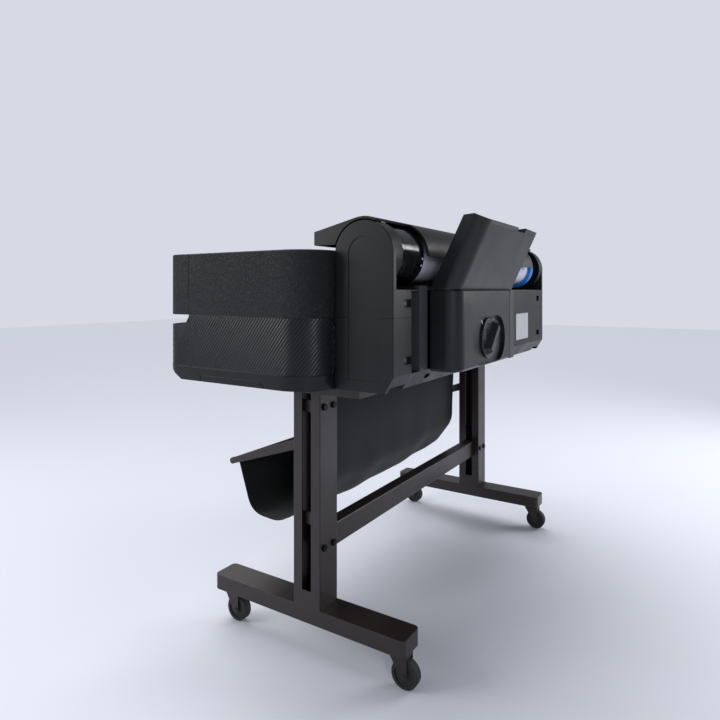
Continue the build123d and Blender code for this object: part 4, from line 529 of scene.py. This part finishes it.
class PRINTER_OT_basket_cloth(PieceOperator, bpy.types.Operator):
    """Woven catch basket that hangs between its two rods"""
    bl_idname = "printer.basket_cloth"
    bl_label = "Catch basket cloth"

    def execute(self, context):
        """Profile through five points with rounded corners, carried along X and sagged by a cosine."""
        s = settings("stand")
        rounded, width = basket_profile()
        columns = 61
        x = np.linspace(-width, width, columns)
        run = np.concatenate([[0], np.cumsum(np.hypot(*np.diff(rounded, axis=0).T))])
        t = run / run[-1]
        hang = np.sin(pi * t)[:, None] ** 1.4
        middle = np.cos(pi * x / (2 * width))[None, :] ** 0.8
        wave = (np.sin(9.0 * t)[:, None] * np.cos(21.0 * x)[None, :] + 0.5 * np.cos(37.0 * x + 1.3)[None, :]
                * np.sin(4.0 * t)[:, None])
        normal = np.gradient(rounded, axis=0)
        normal = np.stack([-normal[:, 1], normal[:, 0]], axis=1)
        normal /= np.linalg.norm(normal, axis=1)[:, None]
        y = rounded[:, 0][:, None] + normal[:, 0][:, None] * wave * hang * 2.2 * MM
        z = rounded[:, 1][:, None] + normal[:, 1][:, None] * wave * hang * 2.2 * MM - s.sag * hang * middle
        points = np.stack([np.broadcast_to(x, y.shape), y, z], axis=-1)
        uv = np.stack(np.broadcast_arrays(x[None, :], run[:, None]), axis=-1)
        piece = grid_mesh("basket_cloth", points, uv, bpy.data.materials["woven polyester"])
        thick = piece.modifiers.new("thickness", "SOLIDIFY")
        thick.thickness, thick.offset = s.cloth_thickness, 0.0
        hems = self.hems(points, run, x, s)
        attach(piece, "frame")
        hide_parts("catch_basket")
        return {"FINISHED"}

    def hems(self, points, run, x, s):
        """Folded edges: a flat tube round each side of the cloth and a sleeve round each rod."""
        pieces = []
        turn = np.linspace(0.0, 2 * pi, 15)
        for side, column in (("near", -1), ("far", 0)):
            line = points[:, column, :]
            step = np.gradient(line, axis=0)
            step /= np.linalg.norm(step, axis=1)[:, None]
            out = np.cross(step, [1.0, 0.0, 0.0])
            shape = (line[None] + np.cos(turn)[:, None, None] * np.array([8 * MM, 0, 0])
                     - np.array([8 * MM, 0, 0]) * np.sign(line[0, 0])
                     + np.sin(turn)[:, None, None] * out[None] * 1.5 * MM)
            uv = np.stack(np.broadcast_arrays(turn[:, None] * 4 * MM, run[None, :]), axis=-1)
            pieces.append(self.hem(f"basket_hem_{side}", shape, uv, side == "near"))
        for label, (y, z) in zip(("rear", "front"), rod_places()):
            ring = np.stack([np.zeros_like(turn), y + 8.2 * MM * np.cos(turn), z + 8.2 * MM * np.sin(turn)], axis=1)
            shape = ring[:, None, :] + np.stack([x, 0 * x, 0 * x], axis=1)[None]
            uv = np.stack(np.broadcast_arrays(x[None, :], turn[:, None] * 8 * MM), axis=-1)
            pieces.append(self.hem(f"basket_sleeve_{label}", shape, uv, False))
        return pieces

    def hem(self, name, shape, uv, flip):
        """One closed strip of cloth."""
        piece = grid_mesh(name, shape[::-1] if flip else shape, uv[::-1] if flip else uv,
                          bpy.data.materials["woven polyester"])
        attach(piece, "frame")
        return piece


def rod_places():
    """Y and Z of the rear and the front basket rod."""
    return tuple((Y_REAR - ahead, BODY_LEVEL + below) for ahead, below in BASKET_CORNERS[[0, -1]])


def basket_profile():
    """Points of the cloth's side view, each corner rounded by a quadratic curve, and half its width."""
    corners = np.stack([Y_REAR - BASKET_CORNERS[:, 0], BODY_LEVEL + BASKET_CORNERS[:, 1]], axis=1)
    reach = np.array([0.03, 0.045, 0.045])
    pieces = [corners[:1]]
    for index, length in zip((1, 2, 3), reach):
        before, here, after = corners[index - 1:index + 2]
        start = here + (before - here) / np.linalg.norm(before - here) * length
        end = here + (after - here) / np.linalg.norm(after - here) * length
        t = np.linspace(0, 1, 13)[:, None]
        gap = np.linspace(pieces[-1][-1], start, 9)[1:-1]
        pieces += [gap, (1 - t) ** 2 * start + 2 * t * (1 - t) * here + t ** 2 * end]
    pieces.append(np.linspace(pieces[-1][-1], corners[-1], 9)[1:])
    return np.concatenate(pieces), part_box("catch_basket")[1][0] - 1 * MM


class PRINTER_OT_knob_marks(PieceOperator, bpy.types.Operator):
    """Two raised index marks beside the quarter-turn knob"""
    bl_idname = "printer.knob_marks"
    bl_label = "Knob marks"

    def execute(self, context):
        """Rounded bars, superelliptic in plan and in height, at 43 degrees to each side."""
        low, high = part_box("lock_knob")
        x0, z0 = (low[0] + high[0]) / 2, (low[2] + high[2]) / 2
        y0 = Y_REAR + (77 - 10) * MM
        marks = []
        for degrees in (43.0, -43.0):
            u, v = np.meshgrid(np.linspace(-1, 1, 15), np.linspace(-1, 1, 15), indexing="ij")
            rise = np.clip(1 - np.abs(u) ** 4, 0, 1) ** 0.5 * np.clip(1 - np.abs(v) ** 4, 0, 1) ** 0.5
            along, across, up = 6.5 * MM * u, 1.7 * MM * v, 1.2 * MM * rise
            a = radians(degrees)
            radius = 62.5 * MM + along
            x = x0 + radius * sin(a) + across * cos(a)
            z = z0 + radius * cos(a) - across * sin(a)
            marks.append(np.stack([x, y0 + up, z], axis=-1))
        for index, points in enumerate(marks, 1):
            piece = grid_mesh(f"knob_mark_{index}", points, material=bpy.data.materials["printed white"])
            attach(piece, "frame")
        return {"FINISHED"}


class PRINTER_OT_finishes(PieceOperator, bpy.types.Operator):
    """Materials for every part of the frame"""
    bl_idname = "printer.finishes"
    bl_label = "Finishes"

    def execute(self, context):
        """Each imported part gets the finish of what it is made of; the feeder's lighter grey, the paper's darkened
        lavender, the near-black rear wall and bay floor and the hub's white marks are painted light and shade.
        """
        shell, roll, stand = settings("shell"), settings("roll"), settings("stand")
        grained = grained_abs("grained ABS", shell.grained, shell.grain_cell)
        ribbed = textured_abs("ribbed ABS", shell.ribbed, 0.26, 0.36)
        housing = textured_abs("textured ABS", shell.housing)
        zinc = zinc_sheet("galvanised steel", roll.sheet_metal)
        steel = ground_steel("ground steel", roll.steel)
        gloss = polished_plastic("gloss ABS", shell.gloss)
        paint = powder_coat("powder-coated steel", stand.paint)
        tyre = rubber("tyre rubber", roll.rubber)
        woven_cloth("woven polyester", stand.cloth, stand.yarn)
        textured_abs("printed white", "#C9CBCE", 0.4, 0.5)
        finishes = {
            grained: ("end_cap_near", "end_cap_far", "front_cover", "top_deck", "ink_cover"),
            ribbed: ("lower_shell",),
            housing: ("end_housing_near", "end_housing_far", "rear_panel",
                      "roll_cover", "power_inlet", "rear_sill", "carriage_motor"),
            textured_abs("satin trim ABS", shell.trim, 0.3, 0.42): ("support_extension", "rear_strip",
                                                                    "feeder_end_post"),
            # The feeder and its support are a lighter grey as painted light on their rear faces.
            textured_abs("satin feeder ABS with painted light", shell.feeder, 0.3, 0.4): ("feeder_box", "paper_support"),
            polished_plastic("knob ABS", shell.knob, 0.24): ("lock_knob",),
            gloss: ("control_panel", "carriage", "service_station", "power_button", "idler_pulley",
                    "motor_pulley", "ink_holder", "feed_motor"),
            hub_gloss_with_painted_glints("gloss hub ABS with painted glints", shell.gloss): ("hub_near",),
            polished_plastic("blue polypropylene", roll.flange, 0.3): ("flange_far",),
            polished_plastic("cartridge polypropylene", "#25262A", 0.32): ("ink_cartridges",),
            smoked_window("smoked polycarbonate"): ("cover_window",),
            # The paper's lavender grey is painted shade.
            roll_paper_finish("coated paper with painted shade", roll.paper): ("roll_paper",),
            cardboard("greyboard", roll.core): ("roll_core",),
            plain_label("bare label stock", shell.label): ("label_plate",),
            zinc: ("side_frames", "platen", "paper_guide", "carriage_rail", "electronics_box"),
            # Rear wall and bay floor: near-black as painted shade in the gaps.
            powder_coat("near-black steel with painted shade", roll.coated): ("rear_wall", "base_pan"),
            steel: ("spindle", "feed_roller"),
            stand_bolts("zinc and black screws", roll.screw): ("screws",),
            rubber("roller rubber", roll.rubber): ("pinch_rollers", "drive_belt"),
            paint: ("stand_post_near", "stand_post_far", "stand_feet", "cross_beam", "basket_frame",
                    "caster_fork_1", "caster_fork_2", "caster_fork_3", "caster_fork_4"),
            tyre: ("caster_wheel_1", "caster_wheel_2", "caster_wheel_3", "caster_wheel_4"),
        }
        for material, names in finishes.items():
            for name in names:
                slots = NODES[name].data.materials
                if slots:
                    slots[0] = material
                else:
                    slots.append(material)
        return {"FINISHED"}


class PRINTER_OT_studio(PieceOperator, bpy.types.Operator):
    """Pale floor, soft lamps and the camera at the photograph's angle"""
    bl_idname = "printer.studio"
    bl_label = "Studio"

    def execute(self, context):
        """The camera stands level, 0.92 m up, and looks past the near end; four lamps are soft and wide."""
        s = settings("studio")
        scene = context.scene
        camera = bpy.data.objects.new("camera", bpy.data.cameras.new("camera"))
        camera.data.lens, camera.data.sensor_width = s.lens, 36.0
        camera.data.shift_y = s.shift
        camera.data.clip_end = 100.0
        camera.location = CAMERA_PLACE
        camera.rotation_euler = (radians(90), 0.0, radians(122.4))
        scene.collection.objects.link(camera)
        scene.camera = camera
        floor_material, tree, shader, coords = new_material("matt floor paint", s.floor, 0.9)
        colour_drift(tree, shader, coords, s.floor, 0.985, 1.0, 0.7)
        spread = np.linspace(-14.0, 14.0, 3)
        gx, gy = np.meshgrid(spread, spread, indexing="ij")
        floor = grid_mesh("floor", np.stack([gx, gy, 0 * gx], axis=-1), material=floor_material)
        lamps = (("sky", "SUN", (-0.8, -1.4, 4.0), radians(60), s.sun),
                 ("side", "AREA", (2.5, -2.3, 1.7), 1.5, s.side_power),
                 ("rear", "AREA", (-2.3, 2.1, 1.7), 1.3, s.rear_power),
                 ("corner", "AREA", (3.2, 2.7, 1.9), 0.7, s.corner_power))
        for name, kind, place, size, power in lamps:
            lamp = bpy.data.objects.new(name, bpy.data.lights.new(name, kind))
            lamp.data.energy = power
            if kind == "SUN":
                lamp.data.angle = size
            else:
                lamp.data.shape, lamp.data.size = "SQUARE", size
            lamp.location = place
            aim = np.array([0.0, 0.0, 0.9]) - np.array(place)
            lamp.rotation_euler = (np.arctan2(np.hypot(aim[0], aim[1]), -aim[2]), 0.0,
                                   np.arctan2(-aim[0], aim[1]))
            scene.collection.objects.link(lamp)
        world = bpy.data.worlds.new("studio")
        world.use_nodes = True
        tree = world.node_tree
        tree.nodes.clear()
        path = add_node(tree, "LightPath").outputs
        seen = add_node(tree, "Math", {0: path["Is Camera Ray"], 1: path["Is Transmission Ray"]},
                        operation="MAXIMUM").outputs[0]
        strength = ranged(tree, seen, 0.38, 1.0)
        back = add_node(tree, "Background", {"Color": linear(s.floor), "Strength": strength})
        add_node(tree, "OutputWorld", {"Surface": back.outputs[0]})
        scene.world = world
        scene.view_settings.view_transform = "Standard"
        return {"FINISHED"}


OPERATORS = (PRINTER_OT_studio, PRINTER_OT_finishes, PRINTER_OT_ribbed_skin, PRINTER_OT_basket_cloth,
             PRINTER_OT_knob_marks)


class PRINTER_PT_looks(bpy.types.Panel):
    """Lists the printer's pieces"""
    bl_idname = "PRINTER_PT_looks"
    bl_label = "Printer looks"
    bl_space_type = "VIEW_3D"
    bl_region_type = "UI"
    bl_category = "Printer"

    def draw(self, context):
        """One button for each operator, then the settings."""
        for operator in OPERATORS:
            self.layout.operator(operator.bl_idname)
        for group in GROUPS:
            box = self.layout.box()
            for name in GROUPS[group].__annotations__:
                box.prop(settings(group), name)


GROUPS = {"shell": ShellSettings, "roll": RollSettings, "stand": StandSettings, "studio": StudioSettings}


def register():
    """Register the classes and hang the settings on the scene."""
    for group in GROUPS.values():
        bpy.utils.register_class(group)
    for operator in OPERATORS:
        bpy.utils.register_class(operator)
    bpy.utils.register_class(PRINTER_PT_looks)
    for name, group in GROUPS.items():
        setattr(bpy.types.Scene, "printer_" + name, bpy.props.PointerProperty(type=group))


def unregister():
    """Take everything out again."""
    for name in GROUPS:
        delattr(bpy.types.Scene, "printer_" + name)
    bpy.utils.unregister_class(PRINTER_PT_looks)
    for operator in reversed(OPERATORS):
        bpy.utils.unregister_class(operator)
    for group in GROUPS.values():
        bpy.utils.unregister_class(group)


def main():
    """Make every piece in order."""
    register()
    bpy.ops.printer.studio()
    bpy.ops.printer.finishes()
    bpy.ops.printer.ribbed_skin()
    bpy.ops.printer.basket_cloth()
    bpy.ops.printer.knob_marks()
    bpy.context.view_layer.update()


if __name__ == "__main__":
    main()
